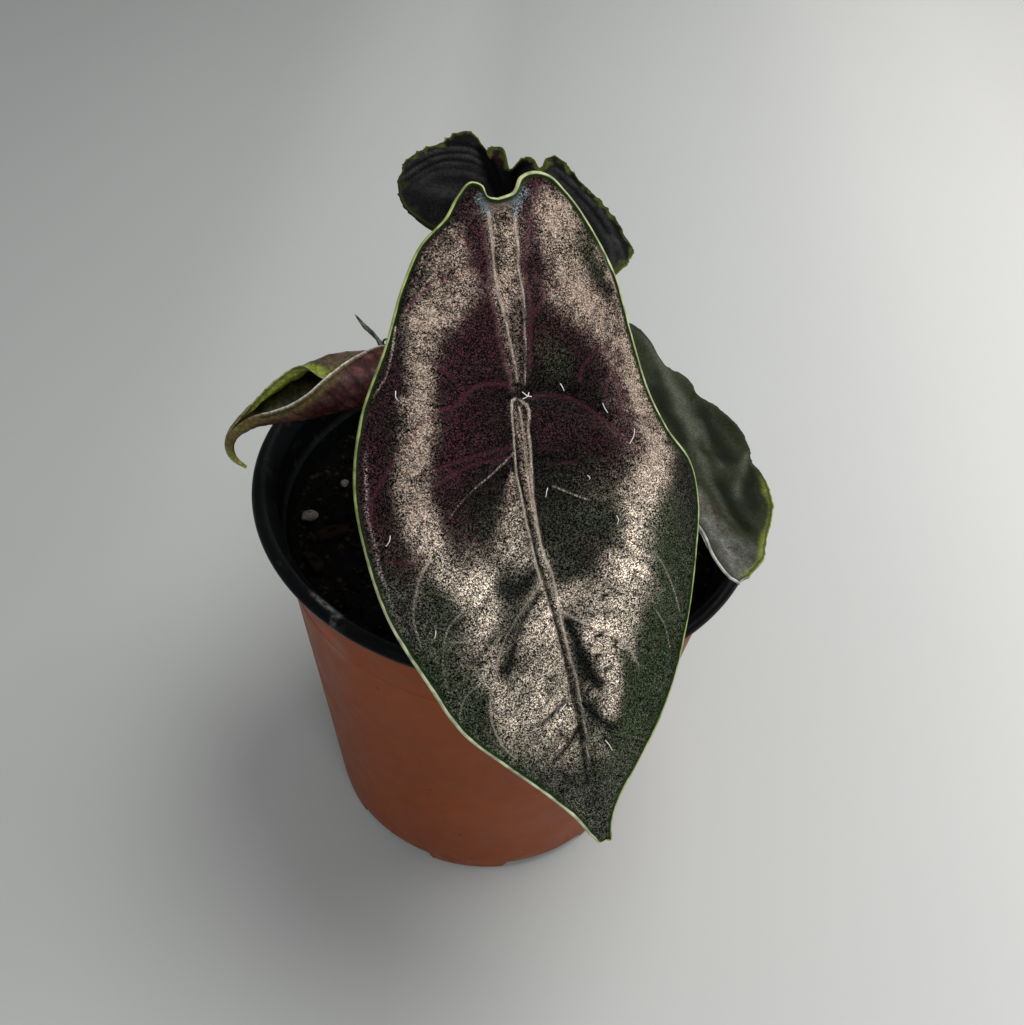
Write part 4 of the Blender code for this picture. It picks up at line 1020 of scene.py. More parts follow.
# Painted shade between the pleats and near the fold
BACK_DARKS = [
    ([(-6, -43.4), (-10, -46.2), (-16, -47.2), (-21, -45.8)], 0.8, 0.6),
    ([(-9, -43), (-15, -44), (-22, -42.6)], 0.4, 0.6),
    ([(-8, -39.4), (-15, -41.7), (-21, -40.7)], 0.4, 0.65), ([(-7, -31), (-12, -34.4)], 1.4, 0.4),
    ([(-12, -30), (-17, -27.4)], 1.4, 0.5), ([(12, -39), (19, -33.8), (26, -26), (30, -19)], 0.9, 0.6),
    ([(14, -33.6), (20, -27.4), (25, -19)], 0.6, 0.6), ([(3, -39), (9, -38.4)], 1.4, 0.9)]
# The deep fold up the middle: painted near black as shade
BACK_FOLD = [
    ([(-4.6, -42), (-4.6, -34), (-2, -28), (2, -30), (2.4, -38)], 2.2, 0.96),
    ([(-5.2, -44), (-4.4, -38), (-3.4, -30)], 1.5, 1),
    ([(-1.8, -42.5), (-1.2, -37), (0, -30), (0.4, -20)], 2.6, 0.98)]
# Folds: raised in the relief, painted paler as highlights
RIGHT_LIGHTS = [
    ([(12.5, -26), (12.5, -18), (12, -10), (10.5, -2), (9, 5)], 2, 0.55),
    ([(15, -15), (17.5, -12)], 1.8, 0.35),
    ([(21.5, 13), (18, 14.2), (14.5, 16.6), (12, 19.4), (9, 22)], (0.7, 1.3), 0.65),
    ([(9.4, -1), (7.4, 5), (6.4, 12)], 1.1, 0.4), ([(6, 12), (5.2, 20), (4.4, 27)], 1.2, 0.35),
    ([(12, 3), (10.4, 10), (9.5, 15)], 0.9, 0.3), ([(16, -2), (14.8, 5)], 1, 0.25),
    ([(-6, -22), (-8, -8), (-8, 6)], 2.4, 0.35)]
# Painted shade in the valleys between the folds and along the midrib
RIGHT_DARKS = [
    ([(6.2, -8), (5.6, 0), (5.2, 6)], 1.8, 0.8), ([(9.4, -12), (7.6, -4)], 1.5, 0.45),
    ([(14, 1), (13.4, 8), (14, 13)], 2.6, 0.8), ([(19, 3), (19.6, 9)], 1.8, 0.45),
    ([(10, 11), (11.5, 14)], 2, 0.6), ([(7.4, 19), (6.6, 25), (7.2, 30)], 2.2, 0.88),
    ([(16.6, 18.6), (12.6, 21.6), (11.6, 25.6)], 2.2, 0.8), ([(0, -18), (0, 12)], 1.4, 0.5)]
# Tip half: a painted sheen
RIGHT_TIP = [
    ([(0, 19), (-1, 26), (-1.8, 32), (-2.4, 39)], (1.8, 3.4), 0.95), ([(2, 34), (4, 36.6)], 2, 0.45)]
BACK_SOFT_RIM = [([(-26.4, -29), (-28.2, -34), (-27.6, -40)], 3.6, 1), ([(-20, -24), (-26, -29)], 3, 1)]
BACK_BLUSH = [([(-2.6, -46.4), (-0.8, -43.4)], 1.8, 1)]
RIGHT_YELLOW = [([(17, 24), (14.6, 29.6), (9, 35), (4, 38.4), (-1, 41)], (2.6, 1.6), 1)]
RIGHT_DARK_RIM = [([(18.6, -12.6), (18.2, -9)], 1.8, 1), ([(19, 16), (17.4, 22)], 3, 1)]
RIGHT_BROWN = [([(17, 26), (16.2, 28.2)], 0.9, 1), ([(3.2, 24), (4.6, 25.6)], 0.6, 0.3)]
RIGHT_SPECKLED = [([(0.6, 21), (1, 26), (-1, 33)], 2.6, 1)]
RIGHT_PALE_RIM = [([(-5, 27), (-6.6, 33), (-6.6, 38), (-4, 42)], 2, 1)]


def plain_detail(side_lines, sweep, bend, midrib_width, raised, height):
    """Fine relief of a plainer blade: grooves along its side veins above, raised veins below, and
    soft folds along the raised marks."""
    def detail(a, b, edge, side):
        narrow = side_veins(a, b, side_lines, sweep, bend, 0.7)
        folds = height * brush(raised, a, b)
        if side < 0:
            folds = folds - 0.3 * narrow - 1.2 * bell(a, midrib_width)
        else:
            wrinkles = 0.16 * rough(stacked(a, b, 0), 5, 3, 51)
            folds = folds + wrinkles - 0.12 * narrow - 0.35 * bell(a, 1)
        return folds * ease(0.2, 3, edge)
    return detail


def make_back_leaf(settings):
    """Back blade: nearly black, with painted highlights along its pleats, painted shade between
    them and in the deep fold, and a toothed olive margin.
    """
    detail = plain_detail(BACK_VEINS, 0.25, 0.012, 1.3, BACK_PLEATS, 0.55)
    points, faces, flat = leaf_faces(BACK, *BACK_GRID, detail, 1)
    a, b = flat["a"], flat["b"]
    ragged = rough(stacked(a, b, 0), 2.4, 3, 61)
    softened = brush(BACK_SOFT_RIM, a, b)
    olive = ease(1.7, 0.4, flat["edge"] + 1.3 * ragged) * (1 - 0.85 * softened)
    # Painted highlights along the pleats, painted shade between them and in the fold
    upper = paint((0.011, 0.011, 0.0115),
                  ((0.052, 0.052, 0.054), brush(BACK_PLEATS, a, b) * (0.85 + 0.5 * ragged)),
                  (0.0022, brush(BACK_DARKS, a, b)),
                  ((0.04, 0.01, 0.015), 0.7 * brush(BACK_BLUSH, a, b)),
                  (0.001, brush(BACK_FOLD, a, b)), (settings.olive, 0.8 * olive))
    rim = paint(scaled(settings.olive, 1.3), ((0.3, 0.27, 0.1), ease(-0.1, 0.6, ragged)),
                ((0.02, 0.024, 0.016), 0.9 * softened))
    attributes = leaf_attributes(settings, flat, upper, 0.14, rim, 0.3)
    material = make_leaf_material("back_leaf", settings, scaled(settings.olive, 0.5), 0.8, 0.012)
    return write_piece("back_leaf", points, faces, [material], attributes)


def make_right_leaf(settings):
    """Right blade: grey green with painted highlights on its folds and painted shade between them,
    a painted sheen on the tip half, a yellow edge and brown spots.
    """
    detail = plain_detail(RIGHT_VEINS, 0.4, 0.015, 1.1, RIGHT_LIGHTS, 0.5)
    points, faces, flat = leaf_faces(RIGHT, *RIGHT_GRID, detail, 0.4)
    a, b, edge = flat["a"], flat["b"], flat["edge"]
    place = stacked(a, b, 0)
    ragged, mottle = rough(place, 6, 3, 71), rough(place, 1.6, 3, 73)
    yellow = ease(2.6, 0.7, edge + 0.9 * ragged) * brush(RIGHT_YELLOW, a, b)
    dark_rim = ease(2.2, 0.5, edge) * brush(RIGHT_DARK_RIM, a, b)
    specks = brush(RIGHT_SPECKLED, a, b) * ease(0.42, 0.75, lumps(place, 0.8, 77))
    brown = np.clip(brush(RIGHT_BROWN, a, b) + 0.7 * specks, 0, 1)
    tip = brush(RIGHT_TIP, a, b)
    # Painted highlights on the folds, painted shade between them, and a painted sheen on the tip half
    upper = paint(settings.grey_green,
                  ((0.145, 0.156, 0.12), brush(RIGHT_LIGHTS, a, b) * (0.85 + 0.3 * ragged)),
                  ((0.005, 0.0065, 0.0025), brush(RIGHT_DARKS, a, b) * (1 - tip)),
                  ((0.175, 0.175, 0.155), tip * (0.8 + 0.35 * mottle)),
                  ((0.055, 0.066, 0.022), 0.8 * dark_rim), (settings.yellow_green, 0.85 * yellow),
                  ((0.05, 0.018, 0.006), brown))
    rim = paint((0.05, 0.062, 0.032), (settings.yellow_green, yellow),
                ((0.5, 0.51, 0.46), brush(RIGHT_PALE_RIM, a, b)))
    attributes = leaf_attributes(settings, flat, upper, 0.1, rim, 0.36)
    material = make_leaf_material("right_leaf", settings, (0.03, 0.038, 0.018), 0.62, 0.06)
    return write_piece("right_leaf", points, faces, [material], attributes)


# Young leaf: a rolled blade, open on top, that narrows to a hooked tip

YOUNG_SPINE = [(-14, 4, 139), (-21, 2.2, 139.4), (-29.5, -0.2, 138.4), (-38.7, -2.2, 136.9),
               (-47.1, -5.1, 134.4), (-53.4, -7.7, 132), (-58, -9.8, 129.8), (-61.4, -10.9, 126.4),
               (-62.6, -11, 122.4), (-61.8, -10.8, 118.8), (-59.6, -10.5, 116.4)]
YOUNG_RADIUS = [(0, 2.6), (0.1, 5), (0.25, 6.2), (0.42, 6.6), (0.55, 5.6), (0.66, 3.6), (0.74, 2.1),
                (0.82, 1.3), (0.92, 0.9), (1, 0.35)]
YOUNG_WALL = [(0, 0.9), (0.6, 0.8), (0.74, 0.75), (0.82, 0.7), (1, 0.2)]
# Degrees round the roll, up to the lip, at shares of the length
YOUNG_NEAR_LIP = [(0, 50), (0.2, 52), (0.25, 62), (0.3, 84), (0.35, 102), (0.4, 118), (0.45, 130),
                  (0.5, 142), (0.55, 150), (0.6, 155), (0.66, 152), (0.72, 136), (0.78, 126), (1, 126)]
YOUNG_FAR_LIP = [(0, 75), (0.2, 78), (0.25, 88), (0.3, 110), (0.36, 130), (0.42, 138), (0.46, 118),
                 (0.49, 86), (0.53, 70), (0.6, 73), (0.66, 84), (0.72, 98), (0.78, 112), (1, 112)]
YOUNG_ROWS = 240
YOUNG_ARC = 60
YOUNG_LENGTH = 62


def along_table(table, share, width=13):
    """Values of a table of (share, value) pairs at each share, smoothed by a raised cosine."""
    kernel = np.hanning(width) / np.hanning(width).sum()
    values = np.pad(np.interp(share, *zip(*table)), width // 2, "edge")
    return np.convolve(values, kernel, "valid")[:, None]


def young_shape():
    """Points and faces of the rolled blade, and what its paint needs at each of them.

    Point = spine + r (side cos t + up sin t). The angle t runs round the outer face from the near
    lip to the far one and back along the inner face. Up to the open mouth the far lip tucks in
    under the near one, where r falls over the last 110 degrees of t; along the mouth the far
    wall has a thick green brim inside.
    """
    path = smooth_through(YOUNG_SPINE, YOUNG_ROWS)
    sides, ups = frames_along(path)
    share = np.linspace(0, 1, YOUNG_ROWS)
    radius, wall = along_table(YOUNG_RADIUS, share, 19), along_table(YOUNG_WALL, share, 19)
    near_lip, far_lip = along_table(YOUNG_NEAR_LIP, share), along_table(YOUNG_FAR_LIP, share, 9) + 360
    share = share[:, None]
    wall = np.minimum(wall, 0.62 * radius)
    body = ease(0.92, 0.72, share)
    sweep = 0.5 - 0.5 * np.cos(np.pi * np.linspace(0, 1, YOUNG_ARC))[None]
    turn = near_lip + sweep * (far_lip - near_lip)
    before_near, before_far = turn - near_lip, far_lip - turn
    arc_near, arc_far = np.radians(before_near) * radius, np.radians(before_far) * radius
    tuck = ease(0.49, 0.43, share) * ease(110, 15, before_far)
    mouth = ease(0.44, 0.52, share) * ease(0.8, 0.68, share)
    along = share * YOUNG_LENGTH
    place = stacked(along, np.cos(np.radians(turn)) * 6, np.sin(np.radians(turn)) * 6)
    vein = np.abs(np.sin(1.15 * along + 0.055 * before_near + 0.4 * lumps(place, 5, 4)))**10
    flare = 0.7 * mouth * bell(arc_far, 0.9)
    lip = 0.2 * bell(arc_near, 0.5) - 0.12 * bell(arc_near - 1, 0.4)
    outer = radius - tuck + (lip + 0.1 * vein + 0.1 * rough(place, 3.2, 3, 5) + flare) * body
    brim_reach = np.interp(share, (0.42, 0.52, 0.68), (64, 60, 46))
    on_brim = ease(4, -4, before_far + 9 * lumps(place, 2.6, 8) - brim_reach)
    brim = mouth * on_brim * (0.8 + 0.3 * lumps(place, 2.2, 9))
    brim = np.minimum(brim, 0.16 * radius * 5) * 0.9 * ease(0, 1, arc_far)
    ribs = 0.02 * np.sin(along * 3.1 + 0.03 * turn) * mouth * ease(6, 8, arc_far)
    thin = ease(0, 0.8, np.minimum(arc_near, arc_far))
    inner = radius - tuck - wall * (0.55 + 0.45 * thin) + (ribs - brim + flare) * body
    angle = np.radians(turn)
    rings = np.concatenate([rings_round(path, sides, ups, reach, round_angle) for reach, round_angle in
                            ((outer, angle), (inner[:, ::-1], angle[:, ::-1]))], axis=1)
    points, four, three = turned(rings, rings[0, YOUNG_ARC // 2], rings[-1, YOUNG_ARC // 2])
    # Painted highlight along the middle of the brim
    painted_brim_highlight = on_brim * bell(before_far - 26, 15)
    marks = {"near": arc_near, "far": arc_far, "length": share, "streak": vein, "on_brim": on_brim,
             "painted_brim_highlight": painted_brim_highlight}
    for key, value in marks.items():
        value = np.broadcast_to(value, turn.shape)
        marks[key] = np.concatenate([value, value[:, ::-1]], axis=1).ravel()
    marks["inside"] = np.tile(np.repeat((0, 1), YOUNG_ARC), YOUNG_ROWS)
    return points, [four, three], marks


def make_young_leaf(settings):
    """Rolled young blade: maroon outside with painted highlights in streaks between its veins, and
    browned towards the hook; dark green inside, deepened to near black as painted shade in the
    cavity, with a lime brim, a painted highlight along the brim, and pale lips."""
    points, faces, marks = young_shape()
    near, far, length, streak, on_brim, painted_brim_highlight, inside = marks.values()
    skin = points[:-2]
    drift, ridge = rough(skin, 6, 3, 81), rough(skin * (0.4, 1, 1), 1.6, 3, 82)
    glint = painted_brim_highlight * ease(-0.5, 0.5, rough(skin, 3, 3, 83))
    olive, maroon = np.array((0.115, 0.09, 0.03)), np.array((0.046, 0.0145, 0.014))
    lime = np.array(settings.lime)
    far_green = ease(5, 3, far) * ease(0.38, 0.46, length) * (length < 0.75)
    outside = paint(
        maroon, (maroon * 0.4, 0.5 * ease(0, 0.8, drift)), ((0.012, 0.004, 0.005), 0.9 * streak),
        # Pinkish streaks between the veins: painted highlights
        ((0.17, 0.072, 0.062), 0.6 * (1 - streak) * ease(-0.2, 0.8, ridge)),
        ((0.15, 0.088, 0.055), 0.7 * ease(0.46, 0.66, length) * (0.7 + 0.4 * drift)),
        ((0.075, 0.058, 0.036), ease(9, 6, far) * ease(0.52, 0.44, length)),
        (lime * 0.8, far_green),
        (olive, ease(3.4, 1.2, near) * ease(0.3, 0.46, length) * 0.9),
        (olive * 1.35, ease(0.68, 0.8, length)), ((0.3, 0.3, 0.08), ease(0.86, 0.95, length)))
    # Inside: near black as painted shade deep in the rolled cavity, then the lime brim and the painted
    # highlight along it
    within = paint(
        (0.0035, 0.004, 0.0006), (lime * 0.12, 0.6 * ease(0.2, 0.8, drift)), (lime * 1.3, on_brim),
        (lime * 3.4 + 0.1, glint), (olive, ease(0.7, 0.76, length)))
    lip = bell(near, 0.36) * ease(0.76, 0.6, length) * (0.5 + 0.5 * ease(0.28, 0.42, length))
    ground = paint(
        np.where(inside[:, None] > 0, within, outside),
        ((0.012, 0.008, 0.006), 0.7 * bell(near - 1.05, 0.3) * (inside == 0) * (length < 0.7)),
        ((0.58, 0.56, 0.44), np.clip(lip * 1.2, 0, 1)), ((0.2, 0.21, 0.08), 0.8 * bell(far, 0.5)))
    ground = np.concatenate([ground, ground[:1], ground[-1:]])
    tree = new_material("young_leaf")
    swing = tree.times(tree.group("grains", {"Per Metre": 1900}, "Grain"), 0.12)
    colour = tree.shade(tree.attribute("ground", "Color"), tree.even_grain(swing, 0.97, 0.1))
    colour = tree.mix(tree.net(420, 0.1, 0.16), colour, (0.12, 0.035, 0.03))
    material = tree.finish(colour, tree.ramp(tree.noise(300), 0.2, 0.8, 0.28, 0.44),
                           tree.bump(tree.noise(1100), 0.12, 0.7), 0.14)
    return write_piece("young_leaf", points, faces, [material], {"ground": ground})


# Stalks and crown

def stalk_path(start, middle, end, direction, straight=STALK_APPROACH):
    """Fine smooth path from the crown to a blade, which it meets in the given direction."""
    return smooth_through([start, *middle, end - straight * unit(direction), end], 240)


def stalk_paths():
    young = smooth_through(YOUNG_SPINE, 30)
    young_direction = unit(young[1] - young[0])
    return {
        "front_petiole": stalk_path(
            (0.4, -1.8, 90), [(0.2, -4, 104), (-1.2, -12, 124), (-2.4, -22, 144)],
            FRONT.stalk_end(), FRONT.normal),
        "back_petiole": stalk_path(
            (-0.4, 4, 90), [(-0.8, 8, 104), (-0.2, 19, 111.5), (1.6, 35, 119.5)],
            BACK.stalk_end(), BACK.normal),
        "right_petiole": stalk_path(
            (3.6, 0.6, 90), [(6.8, -0.4, 103), (17, -5, 117)],
            RIGHT.stalk_end(), RIGHT.normal),
        "young_petiole": stalk_path(
            (-3.4, 1.8, 90), [(-5.8, 3.4, 104), (-5.2, 4.4, 120), (-6, 5, 131)],
            young[0] + 0.8 * young_direction, young_direction, YOUNG_APPROACH),
    }


def make_stalk_material(name, low, high):
    """Stalk: low colour at the foot and high at the blade, fine lines along it and dark flecks."""
    tree = new_material(name)
    colour = tree.toned(tree.mix(tree.attribute("rise"), low, high), 180, 0.3)
    colour = tree.flecked(colour, 0.16, 1500, 0.45, scaled(low, 0.35))
    flecks = tree.group("flecks", {"Cover": 0.16, "Per Metre": 1500})
    height = tree.plus(tree.noise(900, stretch=(1, 1, 0.15)), tree.times(flecks, 0.15))
    return tree.finish(colour, tree.ramp(tree.noise(500), 0.2, 0.8, 0.34, 0.52),
                       tree.bump(height, 0.12, 0.6), 0.4)


def make_stalks():
    """Each stalk is a tube with shallow furrows along it, which flares where it meets its blade."""
    t, share = full_turn(STALK_SIDES), np.linspace(0, 1, STALK_ROWS)
    crease = bell(np.mod(t - 1.57 + np.pi, 2 * np.pi) - np.pi, 0.35)
    furrows = 0.03 * np.cos(11 * t) + 0.05 * skin_lumps(share[:, None] * 30, t, 6, 4, 15) - 0.1 * crease
    rise = np.concatenate([np.repeat(share, STALK_SIDES), [0, 1]])
    paths = stalk_paths()
    for slot, low, high, names in (
            ("mauve_stalk", (0.1, 0.075, 0.035), (0.17, 0.065, 0.06), ("front_petiole", "back_petiole")),
            ("green_stalk", (0.09, 0.075, 0.028), (0.115, 0.15, 0.045), ("right_petiole", "young_petiole"))):
        material = make_stalk_material(slot, low, high)
        for name in names:
            length = lengths_along(paths[name])[-1]
            rest = points_at(paths[name], np.linspace(SHEATH_LENGTH - 3, length, STALK_ROWS))
            young = name == "young_petiole"
            flare = 0.5 * ease(0.9, 1, share) if young else ease(0.93, 1, share)
            radii = STALK_BASE_RADIUS + (STALK_TIP_RADIUS - STALK_BASE_RADIUS) * share + flare
            points, *faces = tube(rest, radii, STALK_SIDES, furrows)
            piece = write_piece(name.replace("petiole", "stalk"), points, faces, [material], {"rise": rise})
            dress(piece, slot, name)


def make_crown():
    """Turned stem with ring scars, and a furrowed sheath round the foot of each stalk."""
    t = full_turn(72)
    z = np.linspace(CROWN_ROOT, CROWN_TOP, 60)
    share = (z - CROWN_ROOT) / (CROWN_TOP - CROWN_ROOT)
    radius = CROWN_RADIUS * (1 + (CROWN_TAPER - 1) * share) * np.sqrt(1 - 0.55 * ease(0.8, 1, share))
    wave = 1 + 0.05 * skin_lumps(z[:, None], t, 8, 3, 91) + 0.02 * np.sin(9 * t)
    reach = radius[:, None] * wave + 0.2 * np.abs(np.sin(z * 1.4))[:, None]**6
    x, y = CROWN_PLACE
    rings = stacked(x + reach * np.cos(t), y + reach * np.sin(t), z[:, None])
    shells = [turned(rings, (x, y, CROWN_ROOT), (x, y, CROWN_TOP))]
    along, angle = np.linspace(0, 1, 60), full_turn(44)
    radii = SHEATH_RADIUS - 0.5 * along - 0.5 * ease(0.9, 1, along)
    for index, path in enumerate(stalk_paths().values()):
        foot = points_at(path, np.linspace(0, SHEATH_LENGTH, 60))
        uneven = skin_lumps(along[:, None] * SHEATH_LENGTH, angle, 4, 2.5, 95 + index)
        shells.append(tube(foot, radii, 44, 0.03 * np.cos(13 * angle + index) + 0.05 * uneven))
    tree = new_material("sheath")
    fibres = tree.ramp(tree.noise(260, 4, 0.6, (1, 1, 0.25)), 0.3, 0.7)
    colour = tree.toned(tree.mix(fibres, (0.03, 0.016, 0.008), (0.13, 0.105, 0.045)), 90, 0.3)
    colour = tree.flecked(colour, 0.2, 1200, 0.5, (0.02, 0.012, 0.006))
    material = tree.finish(colour, tree.ramp(tree.noise(400), 0.2, 0.8, 0.5, 0.75),
                           tree.bump(tree.noise(700, 4, 0.6, (1, 1, 0.2)), 0.25, 0.8), 0.3)
    dress(write_piece("crown_stem", *joined(shells), [material]), "sheath", "crown")


# Dried tip

DRIED_PATH = [(-30, 5.6, 141.3), (-32.3, 7.9, 142.6), (-35.2, 10.6, 143.4), (-37.6, 12.8, 144.6)]
DRIED_RADII = [(0, 0.75), (0.3, 0.5), (1, 0.3)]


def make_dried_thread():
    """Flattened, twisted thread that ends in a point, with a curled knob at its foot."""
    share, t = np.linspace(0, 1, 70), full_turn(20)
    radii = np.interp(share, *zip(*DRIED_RADII)) * (1 - 0.8 * ease(0.9, 1, share))
    twist = 0.35 * np.cos(2 * t + 9 * share[:, None]) + 0.18 * skin_lumps(share[:, None] * 12, t, 1, 0.8, 3)
    curl = np.linspace(0, 1.6 * np.pi, 30)
    knob = DRIED_PATH[0] + stacked(0.9 * np.sin(curl) + 0.6, 0.2 * curl, 1 - np.cos(curl))
    shells = [tube(smooth_through(DRIED_PATH, 70), radii, 20, twist),
              tube(knob, np.linspace(0.42, 0.2, 30), 14)]
    tree = new_material("dried_leaf")
    colour = tree.mix(tree.ramp(tree.noise(900), 0.35, 0.65), (0.028, 0.028, 0.024), (0.09, 0.092, 0.078))
    material = tree.finish(colour, 0.8, tree.bump(tree.noise(1600), 0.15, 0.8), 0.2)
    dress(write_piece("dried_thread", *joined(shells), [material]), "dried_leaf", "dried_tip")


# Pot

# Marks on the wall: bearing, height, size, cover and colour
WALL_MARKS = [(-132, 91.5, 6, 0.25, (0.3, 0.2, 0.15)), (-133.5, 93.8, 3.4, 0.95, (0.36, 0.06, 0.005)),
              *((bearing, height, 0.6, 0.7, (0.05, 0.02, 0.012)) for bearing, height in
                ((-105, 45), (-118, 86), (-128, 70), (-95, 22)))]


def wall_radius(height):
    """Outer radius of the straight wall between the base and the collar."""
    return BASE_RADIUS + (WALL_TOP_RADIUS - BASE_RADIUS) * height / (POT_HEIGHT - COLLAR_DEPTH)


def pot_rows():
    """Profile rows (radius, height) from the underside's middle, out, up, over the rim and back to
    the floor's middle, the rows where the notch starts and ends outside and inside, and the row
    where the rim starts."""
    top, collar, roll = POT_HEIGHT, POT_HEIGHT - COLLAR_DEPTH, RIM_DEPTH / 2
    cut = BASE_RADIUS - DRAIN_REACH
    outer_notch = resample(fillet([(cut, 0), (BASE_RADIUS - BASE_ROUNDING, 0), (BASE_RADIUS - 0.3, 0.35),
                                   (BASE_RADIUS, BASE_ROUNDING), (wall_radius(DRAIN_HEIGHT), DRAIN_HEIGHT)],
                                  0.5), 12)
    heights = np.sort(np.concatenate([np.linspace(DRAIN_HEIGHT, collar - 1, 26),
                                      BEAD_HEIGHT + np.linspace(-1.2, 1.2, 9)]))
    upward = [(wall_radius(h) + BEAD_DEPTH * bell(h - BEAD_HEIGHT, 0.5), h) for h in heights]
    shoulder = fillet([upward[-1], (wall_radius(collar) - 0.1, collar - 0.5), (COLLAR_RADIUS - 0.2, collar),
                       (COLLAR_RADIUS, collar + 4), (COLLAR_RADIUS, top - RIM_DEPTH)], 0.5)
    inside = COLLAR_RADIUS - WALL
    rim = fillet([
        (COLLAR_RADIUS, top - RIM_DEPTH), (RIM_RADIUS - 0.8, top - RIM_DEPTH), (RIM_RADIUS, top - roll),
        (RIM_RADIUS - 0.7, top - 0.4), (RIM_RADIUS - 2, top), (RIM_INNER_RADIUS + 0.7, top - 0.3),
        (RIM_INNER_RADIUS, top - 1.2), (inside, top - RIM_DEPTH - 1), (inside - 0.2, collar + 0.4),
        (wall_radius(collar) - WALL, collar - 0.8)], 0.7)
    downward = [(wall_radius(h) - WALL, h) for h in np.linspace(collar - 0.8, DRAIN_HEIGHT, 12)]
    inner_notch = resample(fillet([downward[-1], (BASE_RADIUS - WALL + 0.1, FLOOR + 1),
                                   (BASE_RADIUS - WALL - 0.9, FLOOR), (cut, FLOOR)], 0.4), 12)
    under = [(r, 0) for r in np.linspace(3, cut, 5)[:-1]]
    floor = [(r, FLOOR) for r in np.linspace(cut, 3, 5)[1:]]
    sections = [under, outer_notch, upward[1:], shoulder[1:], rim[1:], downward[1:], inner_notch[1:], floor]
    rows = np.concatenate([np.asarray(s, float) for s in sections])
    ends = np.cumsum([len(s) for s in sections])
    return rows, (ends[0], ends[1] - 1), (ends[5] - 1, ends[6] - 1), ends[3]


def make_pot(settings):
    """Rows carried round the axis, one column a degree. Between a notch's two columns the faces of
    wall and floor are left out, and four strips join the outer skin to the inner one."""
    rows, outside, inside, rim_start = pot_rows()
    columns = np.arange(POT_COLUMNS)
    period = POT_COLUMNS // DRAIN_COUNT
    local = columns % period
    edges = (period // 2 - DRAIN_ANGLE // 2, period // 2 + DRAIN_ANGLE // 2)
    lean = np.interp(local, (0, edges[0], period / 2, edges[1], period), (0, 1.2, 0, -1.2, 0))
    low = np.clip(rows[:, 1:] / DRAIN_HEIGHT, 0, 1) * (rows[:, 1:] <= DRAIN_HEIGHT + 0.01)
    angle = np.radians(FOOT_BEARING + columns + lean * low * 1.5)
    radius = rows[:, :1] + 0.06 * np.sin(3 * angle) * (rows[:, 1:] > 20)
    rings = stacked(radius * np.cos(angle), radius * np.sin(angle), rows[:, 1:])
    points, four, three = turned(rings, (0, 0, 0), (0, 0, FLOOR))
    cell_row = np.repeat(np.arange(len(rows) - 1), POT_COLUMNS)
    open_columns = (local >= edges[0]) & (local < edges[1])
    open_rows = [(cell_row >= first) & (cell_row < last) for first, last in (outside, inside)]
    cut = np.tile(open_columns, len(rows) - 1) & (open_rows[0] | open_rows[1])
    index = np.arange(len(rows) * POT_COLUMNS).reshape(len(rows), POT_COLUMNS)
    before, after = columns[open_columns], (columns[open_columns] + 1) % POT_COLUMNS
    strips = [np.stack([index[first, before], index[first, after], index[second, after],
                        index[second, before]], axis=1)
              for first, second in ((outside[1], inside[0]), (outside[0], inside[1]))]
    outer, inner = np.arange(outside[0], outside[1] + 1), np.arange(inside[1], inside[0] - 1, -1)
    for column in columns[(local == edges[0]) | (local == edges[1])]:
        strips.append(np.stack([index[outer[:-1], column], index[outer[1:], column], index[inner[1:], column],
                                index[inner[:-1], column]], axis=1))
    strips = np.concatenate(strips)
    lining = (cell_row >= rim_start - 1)[~cut]
    slots = np.concatenate([lining, np.zeros(len(strips) + POT_COLUMNS), np.ones(POT_COLUMNS)])
    attributes = {"scuff": np.concatenate([rim_scuff(angle, rows, rim_start).ravel(), [0, 0]])}
    materials = [make_terracotta(settings), make_lining(settings)]
    piece = write_piece("pot_shell", points, [four[~cut], strips, three], materials, attributes, slots, True)
    piece.data.set_sharp_from_angle(angle=math.radians(35))
    dress(piece, "terracotta_plastic", "pot")


def rim_scuff(angle, rows, rim_start):
    """Cover of the pale chip and the crack on the rim."""
    turn = (np.degrees(angle) + 180) % 360 - 180
    profile, height = rows[:, :1], rows[:, 1:]
    on_rim = (np.arange(len(rows))[:, None] >= rim_start) & (height > POT_HEIGHT - RIM_DEPTH)
    chip = np.exp(-((turn + 128.6) / 3.7)**4) * np.exp(-((profile - 57) / 0.9)**4) * on_rim
    crack = bell(turn + 124.2 + 0.5 * np.sin(profile * 2.6), 0.55) * on_rim * (profile > 56.5)
    return np.clip(chip * 0.8 + crack * 0.5, 0, 1)


def wall_mark(tree, bearing, height, size):
    """1 within the size in mm of the wall's point at a bearing and height, and 0 away from it."""
    reach, turn = wall_radius(height), math.radians(bearing)
    centre = scaled((reach * math.cos(turn), reach * math.sin(turn), height), MM)
    away = tree.add("ShaderNodeVectorMath", {0: tree.place(), 1: centre}, 1, operation="DISTANCE")
    ragged = tree.plus(away, tree.times(tree.noise(900), 0.4 * size * MM))
    return tree.ramp(ragged, 1.2 * size * MM, 0.7 * size * MM)


